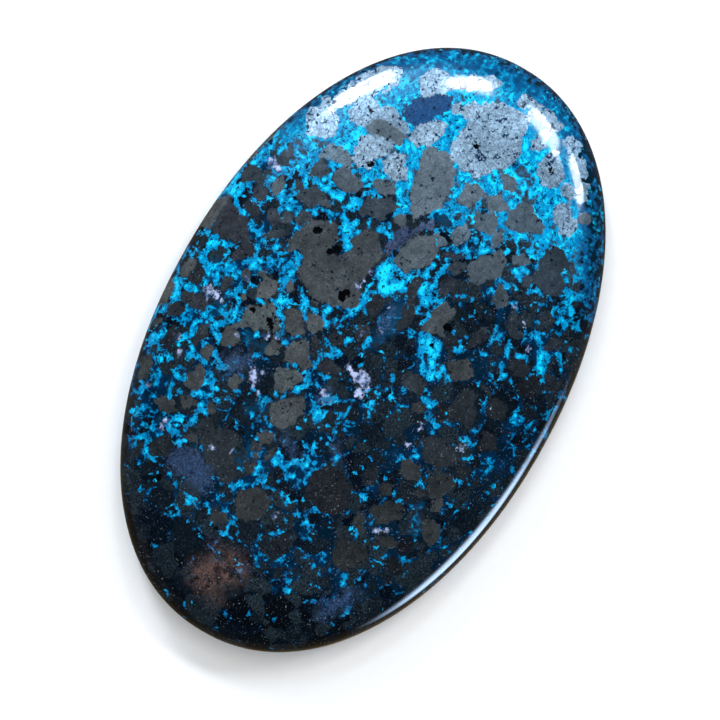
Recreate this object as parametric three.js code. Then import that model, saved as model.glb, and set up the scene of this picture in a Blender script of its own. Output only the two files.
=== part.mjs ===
// An oval turquoise cabochon, cut from one lump of rock: a flat ground back with a small bevel,
// a wall that leans in a little, and a low polished dome.
// Millimetres, +Z up. The origin is the middle of the back, and +X runs along the long axis.
import * as THREE from "three";

// Driving dimensions
const LENGTH = 38;
const WIDTH = 24;
const THICKNESS = 5;
const OVAL_POWER = 2.1; // 2 is a true ellipse, and a little more fills out the four quarters
const BACK_BEVEL = 0.5; // the 45 degree chamfer that keeps the back edge from chipping
const WALL_TOP = 2.5; // height above the back where the wall ends and the dome starts
const WALL_LEAN = 0.12; // how far the wall has leaned in by its top edge
const SHOULDER_RISE = 1.8; // height over which the dome leaves the wall steeply
const CROWN_REACH = 9.6; // distance from the middle at which the dome turns to a nearly flat crown

// Facets
const FACETS_AROUND = 120;
const DOME_RINGS = 20;

const halfLength = LENGTH / 2;
const halfWidth = WIDTH / 2;
const domeHalfWidth = halfWidth - WALL_LEAN;
const domeHalfLength = halfLength - WALL_LEAN;

// The section across the short axis, from the middle of the back round to the middle of the crown.
function sectionAcross() {
  const section = new THREE.Path();
  section.moveTo(0, 0);
  section.lineTo(halfWidth - BACK_BEVEL, 0);
  section.lineTo(halfWidth, BACK_BEVEL);
  section.lineTo(domeHalfWidth, WALL_TOP);
  section.bezierCurveTo(
    domeHalfWidth - WALL_LEAN, WALL_TOP + SHOULDER_RISE,
    CROWN_REACH, THICKNESS,
    0, THICKNESS,
  );
  return section.getPoints(DOME_RINGS);
}

// Half the length of the level ring whose half width is given. The bevel and the wall keep one width
// all the way round the stone, and the dome is stretched along the long axis.
function ringHalfLength(ringHalfWidth) {
  if (ringHalfWidth >= domeHalfWidth) {
    return ringHalfWidth + halfLength - halfWidth;
  }
  return (ringHalfWidth * domeHalfLength) / domeHalfWidth;
}

// Cosine or sine of a turn, bent so that a ring follows the oval instead of a circle.
function bentToOval(value) {
  return Math.sign(value) * Math.abs(value) ** (2 / OVAL_POWER);
}

// Turns the section about +Z and stretches each ring to the oval.
function cabochonGeometry() {
  const geometry = new THREE.LatheGeometry(sectionAcross(), FACETS_AROUND);
  geometry.rotateX(Math.PI / 2);
  const position = geometry.getAttribute("position");
  for (let i = 0; i < position.count; i++) {
    const x = position.getX(i);
    const y = position.getY(i);
    const ringHalfWidth = Math.hypot(x, y);
    if (ringHalfWidth > 0) {
      position.setX(i, ringHalfLength(ringHalfWidth) * bentToOval(x / ringHalfWidth));
      position.setY(i, ringHalfWidth * bentToOval(y / ringHalfWidth));
    }
  }
  geometry.computeVertexNormals();
  return geometry;
}

// Dark rock veined with blue, under a high polish.
const polishedTurquoise = new THREE.MeshStandardMaterial({
  color: 0x1f3f52,
  roughness: 0.15,
  metalness: 0.1,
});

const stone = new THREE.Mesh(cabochonGeometry(), polishedTurquoise);
stone.name = "turquoise_cabochon";

const cabochon = new THREE.Group();
cabochon.add(stone);

export default cabochon;
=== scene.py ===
# An oval turquoise cabochon: metallic grey clasts and bright blue veins in near-black rock,
# ground to a low dome and polished. It lies on a pale floor and is seen from almost straight above.
import math

import bpy
import numpy as np
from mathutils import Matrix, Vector, noise


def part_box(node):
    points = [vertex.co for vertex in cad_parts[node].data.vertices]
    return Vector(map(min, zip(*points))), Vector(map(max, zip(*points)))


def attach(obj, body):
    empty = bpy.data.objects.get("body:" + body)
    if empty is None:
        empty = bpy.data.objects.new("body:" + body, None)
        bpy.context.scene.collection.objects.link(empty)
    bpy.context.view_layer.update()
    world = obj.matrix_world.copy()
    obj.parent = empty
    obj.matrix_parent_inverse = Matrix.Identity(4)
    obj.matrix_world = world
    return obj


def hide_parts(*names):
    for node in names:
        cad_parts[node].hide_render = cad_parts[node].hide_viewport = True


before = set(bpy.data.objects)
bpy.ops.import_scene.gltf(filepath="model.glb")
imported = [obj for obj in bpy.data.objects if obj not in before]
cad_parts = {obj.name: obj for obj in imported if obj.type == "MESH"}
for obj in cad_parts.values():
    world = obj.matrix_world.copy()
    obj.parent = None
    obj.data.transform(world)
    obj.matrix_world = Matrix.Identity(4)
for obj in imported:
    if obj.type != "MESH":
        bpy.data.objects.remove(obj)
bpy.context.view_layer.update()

# Units: the scene is in metres, and the stone's own sizes and drawing are in millimetres
MM = 0.001
NODE = "turquoise_cabochon"
low_corner, high_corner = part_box(NODE)
LENGTH = (high_corner[0] - low_corner[0]) / MM
WIDTH = (high_corner[1] - low_corner[1]) / MM
THICKNESS = (high_corner[2] - low_corner[2]) / MM

# The section that the stone was ground to
OVAL_POWER = 2.1
BACK_BEVEL = 0.5
WALL_TOP = 2.5
WALL_LEAN = 0.12
SHOULDER_RISE = 1.8
CROWN_REACH = 9.6

# How finely the mesh is divided, and the angle above which an edge stays sharp
GRID_ALONG = 336
GRID_ACROSS = 212
WALL_ROWS = 8
BACK_ROWS = 5
SECTION_STEPS = 600
SHARP_ANGLE = math.radians(35)

# Finishes of the clasts: colour, how metallic it is, how far it is broken up into grains, and how much
# painted sheen it has at the right end, a pale blue haze that stands in for the panels' reflection
GREY = ("#52585A", 0.35, 0.12, 0.22)
GRAINY = ("#5E686A", 0.45, 0.45, 0.5)
# pale clasts, and also the painted highlights drawn as pale clasts along the right end's shoulder
PALE_AND_HIGHLIGHT = ("#B8C8D0", 0.3, 0.75, 1.0)
SLATE = ("#363E44", 0.3, 0.2, 0.1)
CHARCOAL = ("#30343A", 0.3, 0.3, 0.1)
BROWN = ("#362C28", 0.3, 0.8, 0.2)
NAVY = ("#1E4876", 0.0, 0.2, 0.0)
VIOLET = ("#2A3152", 0.0, 0.6, 0.2)

# Outlines of the clasts on the crown, seen from above
CLASTS = (
    # the heart-shaped plate and its neighbours
    (GREY, (0.7, 3.5), (1.05, 4.2), (1.5, 5.0), (2.0, 5.4), (2.4, 5.3), (2.95, 5.6), (2.9, 6.1), (2.6, 6.5),
     (3.2, 6.65), (3.8, 6.55), (4.3, 6.25), (4.9, 6.1), (5.15, 5.7), (5.25, 5.2), (5.45, 4.9), (5.0, 4.6),
     (4.6, 4.25), (4.0, 4.45), (3.75, 3.9), (4.2, 3.5), (4.6, 3.3), (5.0, 3.6), (5.5, 3.5), (5.95, 3.1),
     (6.0, 2.5), (5.6, 2.0), (5.2, 1.65), (4.5, 1.7), (4.0, 1.9), (3.2, 2.0), (2.7, 1.85), (2.4, 1.55),
     (1.9, 1.45), (1.5, 1.65), (1.4, 2.2), (1.0, 2.75), (1.1, 3.1)),
    (SLATE, (6.5, 3.9), (7.0, 4.1), (7.6, 3.9), (8.0, 3.3), (8.2, 2.8), (8.0, 2.2), (7.4, 2.4), (6.8, 2.6),
     (6.7, 3.3)),
    (GREY, (8.1, 3.4), (8.5, 4.2), (9.0, 3.7), (8.9, 3.0), (8.5, 2.8)),
    (GREY, (6.9, 1.8), (7.3, 2.05), (7.7, 1.7), (7.5, 1.4), (7.0, 1.5)),
    (GREY, (4.85, 0.1), (5.2, 0.8), (5.7, 0.95), (6.4, 0.7), (7.0, 0.4), (7.4, -0.2), (7.7, -0.5),
     (7.2, -0.6), (6.9, -0.9), (6.5, -1.05), (6.1, -1.0), (5.7, -0.75), (5.3, -0.3)),
    (GREY, (7.55, 6.3), (8.0, 6.3), (8.4, 6.0), (8.35, 5.5), (8.0, 4.6), (7.6, 4.7), (7.3, 5.2),
     (7.45, 5.9)),
    (SLATE, (5.5, 7.3), (5.8, 7.6), (6.5, 7.2), (6.65, 6.9), (6.5, 6.3), (6.2, 5.7), (5.9, 6.1),
     (5.7, 6.6)),
    (SLATE, (4.4, 7.0), (5.0, 7.0), (5.15, 6.5), (4.9, 6.15), (4.5, 6.4)),
    (SLATE, (7.1, 7.7), (7.6, 7.6), (8.2, 7.4), (8.1, 7.0), (7.7, 6.6), (7.4, 6.8), (7.2, 7.3)),
    (SLATE, (4.0, 7.7), (4.6, 7.8), (4.7, 7.3), (4.2, 7.15)),
    (SLATE, (5.85, 7.9), (6.5, 7.95), (6.4, 7.6), (6.0, 7.55)),
    # the upper side
    (CHARCOAL, (1.6, 11.1), (3.7, 11.0), (3.3, 10.2), (3.1, 9.5), (2.5, 9.1), (1.9, 8.6), (1.6, 9.6)),
    (GREY, (1.6, 11.95), (3.5, 11.85), (3.55, 11.3), (3.9, 11.0), (1.6, 11.1)),
    (CHARCOAL, (3.4, 9.3), (3.75, 9.95), (4.1, 9.9), (4.15, 9.3), (3.9, 9.0), (3.5, 9.05)),
    (CHARCOAL, (4.4, 9.6), (4.6, 9.95), (5.1, 9.9), (5.1, 9.3), (4.8, 9.15), (4.5, 9.3)),
    (GREY, (5.05, 8.7), (5.4, 9.05), (6.0, 9.15), (6.35, 8.95), (5.9, 8.65), (5.3, 8.6)),
    (CHARCOAL, (3.45, 7.9), (3.6, 8.4), (4.1, 8.65), (4.45, 8.3), (4.2, 8.0), (3.8, 7.75)),
    (SLATE, (2.65, 8.2), (3.0, 8.0), (3.6, 7.4), (3.5, 7.15), (3.1, 7.3), (2.7, 7.8)),
    (SLATE, (4.9, 10.9), (5.4, 11.1), (6.1, 10.8), (5.9, 10.1), (5.3, 10.0)),
    (GREY, (6.0, 11.4), (7.5, 11.15), (9.0, 10.75), (8.9, 10.5), (7.4, 10.95), (6.1, 11.15)),
    (CHARCOAL, (7.2, 9.3), (7.4, 9.6), (7.7, 9.5), (7.6, 9.1)),
    (GREY, (-3.8, 11.6), (-3.0, 11.75), (-2.0, 11.8), (-2.2, 11.3), (-2.9, 11.25), (-3.4, 11.35)),
    (GREY, (-1.6, 11.1), (-1.2, 11.4), (-0.6, 11.3), (-0.3, 11.0), (-0.7, 10.8), (-1.5, 10.9)),
    (CHARCOAL, (-1.6, 10.8), (-0.7, 10.75), (-0.4, 10.4), (-0.9, 10.0), (-1.5, 10.05)),
    (CHARCOAL, (-2.8, 10.5), (-2.3, 10.7), (-2.1, 10.2), (-1.95, 9.6), (-2.3, 9.0), (-2.7, 9.2),
     (-2.9, 9.9)),
    (CHARCOAL, (-4.0, 10.8), (-3.5, 10.95), (-3.1, 10.6), (-3.2, 10.15), (-3.7, 10.2)),
    (GREY, (-5.0, 11.4), (-4.5, 11.35), (-4.3, 11.0), (-4.8, 10.95)),
    (SLATE, (-4.6, 8.5), (-4.2, 8.8), (-3.6, 8.75), (-3.3, 8.4), (-3.8, 8.1), (-4.3, 8.2)),
    (GREY, (-5.15, 7.8), (-4.8, 8.0), (-4.3, 7.8), (-4.4, 7.4), (-5.0, 7.45)),
    (GREY, (-1.2, 7.4), (-0.9, 7.65), (-0.65, 7.4), (-0.9, 7.2)),
    (SLATE, (-0.15, 7.9), (0.2, 8.3), (0.5, 8.2), (0.45, 7.7), (0.0, 7.5)),
    (SLATE, (-1.2, 8.7), (-0.8, 9.0), (-0.35, 8.85), (-0.3, 8.4), (-0.7, 8.3)),
    (CHARCOAL, (0.6, 8.9), (1.2, 9.2), (1.9, 9.0), (1.95, 8.3), (1.4, 8.05), (1.1, 8.5)),
    (GREY, (0.5, 7.2), (0.9, 7.3), (1.0, 7.0), (0.6, 6.9)),
    (GRAINY, (-8.0, 10.45), (-7.3, 10.6), (-6.7, 10.8), (-6.4, 10.5), (-6.9, 10.2), (-7.6, 10.1)),
    (CHARCOAL, (-5.5, 10.2), (-4.6, 10.3), (-4.2, 10.0), (-4.6, 9.7), (-5.4, 9.8)),
    (GREY, (-8.95, 8.6), (-8.6, 9.0), (-8.2, 8.7), (-8.15, 8.0), (-8.5, 7.6), (-8.9, 7.9)),
    (GREY, (-8.2, 7.2), (-7.8, 7.6), (-7.4, 7.2), (-7.6, 6.9), (-8.0, 6.9)),
    (GREY, (-7.1, 7.5), (-6.7, 7.9), (-6.1, 7.9), (-5.6, 7.7), (-5.6, 7.4), (-6.2, 7.1), (-6.9, 7.1)),
    (SLATE, (-11.4, 7.5), (-10.8, 7.95), (-10.2, 7.7), (-9.95, 7.2), (-10.3, 6.75), (-11.1, 6.8)),
    (GREY, (-9.7, 5.8), (-9.6, 6.4), (-9.2, 6.3), (-9.25, 5.8), (-9.5, 5.65)),
    (GREY, (-7.7, 5.9), (-7.4, 6.2), (-7.1, 6.0), (-7.2, 5.7), (-7.5, 5.65)),
    (GREY, (-5.7, 5.1), (-5.8, 5.6), (-5.4, 5.8), (-5.1, 5.5), (-5.2, 5.0)),
    # between the upper side and the middle
    (GRAINY, (-2.8, 7.05), (-2.2, 6.95), (-1.3, 6.85), (-1.0, 6.6), (-1.1, 6.3), (-0.6, 6.0), (-0.5, 5.6),
     (-1.0, 5.1), (-1.5, 4.65), (-1.9, 4.9), (-2.0, 5.5), (-2.4, 5.9), (-2.2, 6.3), (-2.7, 6.6)),
    (GREY, (-4.0, 7.15), (-3.4, 7.4), (-2.9, 7.3), (-2.8, 7.0), (-3.1, 6.5), (-3.4, 6.2), (-3.7, 6.5)),
    (GREY, (-0.5, 6.8), (0.1, 6.9), (0.7, 6.7), (0.75, 6.2), (0.3, 5.85), (-0.3, 6.0), (-0.5, 6.4)),
    (GREY, (0.55, 5.25), (0.9, 5.5), (1.25, 5.5), (1.15, 5.2), (0.75, 5.0)),
    (GREY, (-1.45, 3.9), (-1.2, 3.35), (-0.95, 3.45), (-0.5, 3.8), (-0.1, 4.05), (-0.2, 4.6), (-0.55, 4.95),
     (-0.9, 4.6), (-1.4, 4.2)),
    (GREY, (-3.1, 4.8), (-2.8, 4.9), (-2.3, 4.6), (-2.2, 4.2), (-2.7, 4.0), (-3.0, 4.4)),
    (GREY, (-2.9, 3.5), (-2.3, 3.75), (-1.7, 3.55), (-1.35, 3.1), (-1.6, 2.7), (-2.1, 2.5), (-2.5, 2.1),
     (-2.85, 2.2), (-2.7, 2.8)),
    (GRAINY, (-4.55, 3.3), (-4.0, 3.6), (-3.5, 3.5), (-3.2, 3.0), (-3.05, 2.6), (-3.3, 2.1), (-3.8, 2.3),
     (-4.2, 2.5), (-4.65, 2.8)),
    (GREY, (-6.5, 2.2), (-6.1, 2.8), (-5.4, 2.9), (-5.0, 2.6), (-4.6, 2.0), (-4.3, 1.5), (-5.0, 1.2),
     (-5.8, 1.3), (-6.3, 1.6)),
    (CHARCOAL, (-1.5, 2.6), (-1.0, 2.8), (-0.85, 2.3), (-1.2, 2.1), (-1.6, 2.3)),
    (GREY, (-0.7, 3.3), (-0.3, 3.7), (0.1, 3.6), (0.3, 3.0), (0.0, 2.6), (-0.4, 2.6), (-0.65, 2.9)),
    (CHARCOAL, (-0.85, 1.6), (-0.4, 2.0), (-0.1, 1.8), (-0.2, 1.3), (-0.6, 1.1)),
    (CHARCOAL, (0.1, 0.5), (0.4, 0.9), (1.0, 0.8), (1.1, 0.3), (0.6, 0.0), (0.2, 0.1)),
    (CHARCOAL, (-2.6, 1.6), (-2.0, 1.7), (-1.7, 1.1), (-2.0, 0.5), (-2.4, 0.9)),
    (CHARCOAL, (1.7, 0.4), (2.2, 1.0), (2.8, 0.9), (3.1, 0.6), (2.8, 0.2), (2.2, 0.1)),
    (SLATE, (-10.3, 4.6), (-9.5, 5.1), (-8.4, 5.0), (-8.0, 4.6), (-7.9, 4.1), (-8.1, 3.55), (-8.7, 3.6),
     (-9.2, 3.3), (-9.8, 2.9), (-10.6, 2.8), (-10.9, 3.2), (-10.6, 3.7), (-10.2, 4.2)),
    (SLATE, (-9.6, 5.3), (-9.0, 5.9), (-8.3, 6.0), (-7.9, 5.6), (-8.2, 5.1)),
    # the left half of the middle
    (GREY, (-9.6, 2.2), (-9.3, 2.6), (-9.0, 2.4), (-9.0, 2.1), (-9.4, 2.05)),
    (GREY, (-8.75, 2.1), (-8.5, 2.45), (-8.35, 2.3), (-8.5, 2.05)),
    (GREY, (-8.3, 2.7), (-7.9, 2.7), (-7.75, 2.3), (-8.1, 2.2)),
    (GREY, (-7.75, 2.4), (-7.4, 2.7), (-7.0, 2.55), (-6.8, 2.2), (-7.1, 1.9), (-7.5, 1.95)),
    (GREY, (-8.6, 1.65), (-8.3, 1.9), (-7.9, 1.8), (-7.6, 1.65), (-8.0, 1.5), (-8.5, 1.5)),
    (GREY, (-12.0, 1.5), (-11.6, 1.9), (-11.0, 2.1), (-10.4, 1.8), (-10.1, 1.4), (-10.2, 0.8), (-10.4, 0.3),
     (-11.0, 0.2), (-11.7, 0.6), (-12.1, 1.0)),
    (CHARCOAL, (-9.2, -1.6), (-8.6, -1.1), (-7.6, -1.1), (-7.0, -1.6), (-7.0, -2.3), (-7.2, -3.0),
     (-7.4, -3.5), (-8.0, -3.7), (-8.8, -3.6), (-9.4, -3.3), (-9.4, -2.5)),
    (CHARCOAL, (-13.0, -1.3), (-12.4, -1.1), (-11.7, -1.3), (-11.8, -1.9), (-12.6, -1.9)),
    (GREY, (-13.1, 2.4), (-12.8, 2.9), (-12.4, 2.7), (-12.2, 2.2), (-12.6, 1.9)),
    (SLATE, (-7.0, -3.8), (-6.4, -3.6), (-5.9, -3.9), (-6.0, -4.3), (-6.6, -4.4)),
    (BROWN, (-15.9, 1.9), (-15.4, 2.1), (-15.1, 1.5), (-14.9, 0.8), (-15.1, 0.2), (-15.5, 0.1),
     (-15.9, 0.8), (-16.8, 0.8), (-16.9, 1.4), (-16.2, 1.4)),
    (BROWN, (-14.6, 0.9), (-14.2, 1.1), (-14.0, 0.7), (-14.4, 0.5)),
    # the lower side, left of the middle
    (SLATE, (-0.9, -3.1), (-0.5, -2.8), (-0.05, -3.0), (0.05, -3.6), (-0.2, -4.3), (-0.7, -4.2)),
    (GREY, (-1.9, -4.4), (-1.6, -4.05), (-1.25, -4.3), (-1.3, -4.7), (-1.7, -4.8)),
    (SLATE, (-1.1, -6.3), (-0.7, -6.0), (0.0, -6.1), (0.6, -6.3), (0.9, -6.7), (0.8, -7.0), (0.1, -7.1),
     (-0.2, -7.5), (-0.6, -7.7), (-1.0, -7.4), (-1.1, -6.9)),
    (CHARCOAL, (-1.4, -5.8), (-1.0, -5.4), (-0.5, -5.5), (-0.5, -5.9), (-1.0, -6.0)),
    (SLATE, (-4.0, -6.2), (-3.6, -5.9), (-3.0, -5.5), (-2.8, -5.8), (-2.5, -6.2), (-2.4, -6.7),
     (-2.6, -7.2), (-3.0, -7.9), (-3.3, -7.9), (-3.6, -7.5), (-4.0, -7.2), (-4.05, -6.7)),
    (GREY, (-5.4, -5.8), (-5.0, -5.2), (-4.6, -5.1), (-4.4, -5.7), (-4.5, -6.4), (-5.1, -6.5)),
    (GREY, (-5.6, -7.6), (-5.3, -7.1), (-4.8, -7.0), (-4.3, -7.5), (-4.1, -8.0), (-4.4, -8.5), (-5.0, -8.3),
     (-5.5, -8.2)),
    (CHARCOAL, (-1.9, -8.7), (-1.4, -8.5), (-0.9, -8.4), (-0.8, -8.9), (-1.0, -9.4), (-1.7, -9.35)),
    (SLATE, (-3.9, -8.5), (-3.5, -8.1), (-3.1, -8.4), (-3.2, -8.8), (-3.8, -8.9)),
    (SLATE, (0.0, -8.2), (0.4, -7.9), (1.1, -8.0), (1.2, -8.6), (0.9, -9.0), (0.2, -9.0)),
    (GREY, (0.7, -5.4), (1.0, -4.9), (1.6, -4.85), (2.0, -5.2), (2.3, -5.6), (1.9, -6.2), (1.3, -6.1),
     (0.9, -5.8)),
    (GREY, (-11.6, -4.7), (-11.0, -4.3), (-10.4, -4.4), (-10.1, -5.0), (-10.0, -5.6), (-10.3, -6.1),
     (-11.0, -6.1), (-11.5, -5.6), (-11.9, -5.1)),
    (GREY, (-9.4, -4.9), (-8.9, -4.3), (-8.5, -4.4), (-8.6, -4.8), (-9.0, -5.2), (-9.5, -5.3)),
    (GREY, (-8.4, -5.7), (-8.0, -4.9), (-7.5, -5.3), (-7.0, -5.6), (-6.8, -6.2), (-7.0, -6.7), (-7.6, -6.8),
     (-8.0, -6.4)),
    (GREY, (-7.0, -5.1), (-6.7, -4.8), (-6.2, -4.9), (-6.2, -5.3), (-6.6, -5.5)),
    (GREY, (-9.8, -6.1), (-9.2, -6.1), (-8.8, -6.6), (-8.7, -7.2), (-9.1, -7.3), (-9.5, -6.8)),
    (CHARCOAL, (-9.4, -7.7), (-8.8, -7.4), (-8.5, -7.8), (-8.8, -8.1)),
    (SLATE, (-10.5, -7.2), (-10.1, -7.2), (-9.7, -7.4), (-9.8, -8.0), (-10.2, -8.4), (-10.5, -8.0)),
    (GREY, (-8.0, -8.4), (-7.5, -8.0), (-7.0, -7.9), (-6.8, -8.4), (-6.9, -8.9), (-7.5, -9.1),
     (-8.0, -8.9)),
    (GREY, (-6.1, -6.8), (-5.8, -6.6), (-5.5, -6.9), (-5.7, -7.2), (-6.0, -7.1)),
    (GREY, (-6.3, -8.1), (-5.9, -7.9), (-5.5, -8.1), (-5.6, -8.5), (-6.1, -8.4)),
    # the lower side, right of the middle
    (CHARCOAL, (3.2, -1.0), (3.8, -0.7), (4.6, -0.65), (5.0, -0.8), (4.6, -1.1), (4.0, -1.2), (3.4, -1.3)),
    (SLATE, (1.8, -1.2), (2.6, -1.05), (3.3, -1.15), (3.2, -1.6), (2.6, -1.7), (2.0, -1.5)),
    (GREY, (2.5, -2.5), (3.3, -2.6), (3.9, -2.5), (4.5, -2.9), (4.4, -3.5), (4.1, -3.7), (3.6, -3.6),
     (3.0, -3.6), (2.7, -3.8), (2.5, -3.2)),
    (CHARCOAL, (4.7, -2.4), (5.2, -2.1), (5.9, -2.4), (5.9, -2.9), (5.3, -3.0), (4.8, -2.7)),
    (SLATE, (6.0, -2.4), (6.4, -2.1), (7.0, -2.2), (7.0, -2.8), (6.5, -2.9)),
    (GREY, (6.5, -3.1), (7.1, -2.95), (7.6, -3.3), (8.1, -3.7), (8.6, -4.1), (8.4, -4.6), (7.6, -4.9),
     (7.1, -4.7), (6.7, -4.3), (6.2, -4.0), (6.3, -3.5)),
    (GRAINY, (7.15, -0.9), (7.5, -0.7), (7.7, -0.95), (7.5, -1.3), (7.25, -1.2)),
    (GRAINY, (7.65, -1.8), (8.0, -1.35), (8.6, -1.4), (9.0, -1.8), (8.7, -2.25), (8.2, -2.1), (7.8, -2.0)),
    (CHARCOAL, (6.9, -1.2), (7.1, -1.5), (7.2, -2.2), (7.6, -2.4), (7.2, -2.4), (6.9, -1.9)),
    (SLATE, (2.4, -4.0), (3.0, -4.0), (3.2, -4.3), (2.8, -4.6), (2.4, -4.5)),
    (CHARCOAL, (2.7, -5.0), (3.4, -5.2), (4.0, -5.4), (4.4, -5.6), (3.9, -6.0), (3.5, -5.8), (3.2, -5.5)),
    (GREY, (5.65, -5.5), (6.0, -5.2), (6.9, -5.0), (7.0, -5.4), (6.6, -5.9), (6.0, -5.95), (5.7, -5.8)),
    (SLATE, (7.4, -6.3), (7.8, -6.0), (8.2, -6.1), (8.1, -6.6), (7.6, -6.6)),
    (GREY, (8.4, -5.1), (8.8, -4.9), (9.1, -5.4), (8.9, -5.9), (8.5, -5.7)),
    (SLATE, (7.8, -7.0), (8.2, -6.6), (9.0, -6.5), (9.9, -6.5), (10.4, -6.8), (10.5, -7.2), (10.0, -7.9),
     (9.2, -7.9), (8.7, -8.4), (8.0, -8.35), (7.8, -7.8)),
    (SLATE, (4.6, -7.2), (4.9, -6.8), (5.5, -6.5), (6.1, -6.5), (6.0, -7.0), (5.5, -7.2), (5.0, -7.7),
     (4.7, -7.6)),
    (SLATE, (2.8, -8.2), (3.0, -7.8), (3.6, -7.9), (3.75, -8.4), (3.5, -8.9), (2.9, -8.9), (2.7, -8.6)),
    (CHARCOAL, (6.2, -8.2), (6.6, -7.8), (7.0, -8.0), (7.0, -8.5), (6.6, -8.95), (6.1, -8.7)),
    (CHARCOAL, (4.9, -9.2), (5.4, -9.1), (6.0, -9.6), (6.0, -9.95), (5.2, -9.9)),
    (CHARCOAL, (2.0, -9.1), (2.7, -8.95), (3.3, -9.3), (3.4, -9.7), (2.8, -10.1), (2.1, -9.9)),
    (CHARCOAL, (3.0, -10.2), (3.5, -10.0), (3.9, -10.4), (3.8, -10.9), (3.2, -11.0), (2.9, -10.6)),
    # the right end
    (PALE_AND_HIGHLIGHT, (9.2, 8.9), (9.6, 9.1), (10.2, 9.4), (10.6, 9.4), (11.0, 9.1), (11.5, 9.1), (11.7, 8.9),
     (11.2, 8.3), (10.7, 7.8), (10.3, 7.5), (9.7, 7.6), (9.4, 8.0), (9.3, 8.5)),
    (PALE_AND_HIGHLIGHT, (11.1, 6.9), (11.5, 7.3), (12.0, 7.1), (12.5, 6.8), (12.7, 6.4), (12.3, 6.0), (11.9, 5.8),
     (11.5, 6.1), (11.1, 6.3)),
    (GRAINY, (8.4, 7.6), (8.95, 7.5), (9.4, 6.8), (9.2, 6.1), (8.7, 5.7), (8.5, 6.3)),
    (PALE_AND_HIGHLIGHT, (9.0, 5.6), (9.7, 6.0), (10.4, 6.0), (10.9, 5.4), (11.1, 4.8), (11.0, 4.2), (10.4, 4.2),
     (9.7, 4.8), (9.1, 4.7), (9.0, 5.2)),
    (GREY, (11.0, 6.0), (11.6, 6.0), (11.9, 5.4), (11.95, 4.5), (11.7, 3.8), (11.2, 3.9), (11.1, 4.6),
     (11.1, 5.4)),
    (PALE_AND_HIGHLIGHT, (9.4, 3.9), (9.8, 4.1), (10.5, 3.8), (10.6, 3.3), (10.1, 3.2), (9.9, 2.9), (9.6, 2.65),
     (9.2, 3.1)),
    (PALE_AND_HIGHLIGHT, (12.0, 5.7), (12.5, 5.9), (12.8, 5.4), (12.5, 4.7), (12.3, 4.0), (12.0, 3.9), (11.95, 4.6)),
    (GREY, (7.7, 1.0), (8.2, 1.4), (9.0, 1.8), (9.8, 2.1), (10.8, 2.2), (11.7, 2.4), (12.0, 2.2),
     (12.0, 1.5), (11.9, 0.9), (11.5, 0.6), (11.2, 0.5), (10.7, 0.2), (10.2, 0.2), (9.9, 0.0), (9.5, 0.25),
     (9.2, 0.0), (8.9, 0.3), (8.5, 0.7)),
    (PALE_AND_HIGHLIGHT, (11.8, 3.5), (12.3, 3.5), (12.8, 3.2), (13.3, 2.7), (13.4, 2.1), (13.0, 2.0), (12.6, 2.2),
     (12.2, 2.5), (11.9, 2.6), (11.6, 2.9)),
    (PALE_AND_HIGHLIGHT, (12.0, 0.9), (12.5, 1.15), (13.5, 1.25), (14.0, 1.0), (15.0, 0.95), (15.6, 0.8), (15.9, 0.3),
     (16.2, -0.2), (16.3, -0.9), (16.1, -1.9), (15.6, -2.0), (15.0, -2.0), (14.5, -2.2), (14.1, -2.4),
     (13.6, -2.2), (13.0, -2.0), (12.6, -1.5), (12.1, -1.1), (11.6, -0.9), (11.7, -0.4), (11.6, 0.1),
     (11.9, 0.5)),
    (GREY, (9.9, -0.8), (10.4, -0.6), (11.0, -0.6), (11.1, -1.0), (11.3, -1.2), (11.0, -1.8), (10.7, -1.5),
     (10.2, -1.4), (10.0, -1.2)),
    (GREY, (9.1, -2.3), (9.5, -2.05), (9.9, -2.1), (10.0, -2.5), (10.3, -2.75), (10.1, -3.0), (9.6, -3.25),
     (9.2, -3.1), (9.1, -2.7)),
    (GREY, (10.4, -2.4), (10.9, -2.1), (11.1, -2.4), (11.4, -2.7), (11.0, -2.9), (11.2, -3.3), (10.9, -3.3),
     (10.6, -2.9)),
    (GREY, (12.0, -2.6), (12.5, -2.1), (12.6, -2.6), (12.4, -3.1), (12.0, -3.0)),
    (GREY, (10.1, -3.9), (10.6, -3.6), (11.2, -3.7), (11.7, -4.0), (11.75, -4.4), (11.4, -4.9),
     (11.3, -5.4), (11.0, -5.8), (10.7, -5.6), (10.5, -5.2), (10.2, -4.8), (10.0, -4.3)),
    (GREY, (8.5, -3.6), (8.9, -3.4), (9.4, -3.5), (9.7, -3.7), (9.3, -4.0), (8.8, -3.9)),
    (PALE_AND_HIGHLIGHT, (14.3, 2.0), (14.7, 2.3), (14.9, 2.0), (14.6, 1.7)),
    (PALE_AND_HIGHLIGHT, (14.4, 1.4), (14.9, 1.7), (15.3, 1.3), (15.2, 1.0), (14.7, 1.1)),
    (PALE_AND_HIGHLIGHT, (14.3, 4.0), (14.8, 4.6), (15.5, 4.6), (16.0, 4.2), (16.0, 3.6), (15.6, 3.1), (15.0, 3.2),
     (14.9, 3.6)),
    (PALE_AND_HIGHLIGHT, (14.8, -2.9), (15.2, -2.7), (15.6, -2.9), (16.0, -2.9), (16.0, -3.3), (15.3, -3.4),
     (14.9, -3.2)),
    (PALE_AND_HIGHLIGHT, (13.3, -4.3), (13.7, -3.9), (14.3, -3.7), (14.9, -3.8), (15.2, -4.2), (14.9, -4.7), (14.4, -5.0),
     (14.0, -5.3), (13.6, -5.1), (13.3, -4.8)),
    (PALE_AND_HIGHLIGHT, (11.3, -6.7), (11.6, -6.3), (12.0, -6.0), (12.4, -5.75), (12.8, -5.9), (12.9, -6.3),
     (12.5, -6.6), (12.3, -7.0), (11.8, -7.3), (11.4, -7.1)),
    (PALE_AND_HIGHLIGHT, (13.4, -5.8), (13.7, -5.6), (13.95, -5.8), (13.85, -6.2), (14.3, -6.4), (14.6, -6.7),
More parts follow.
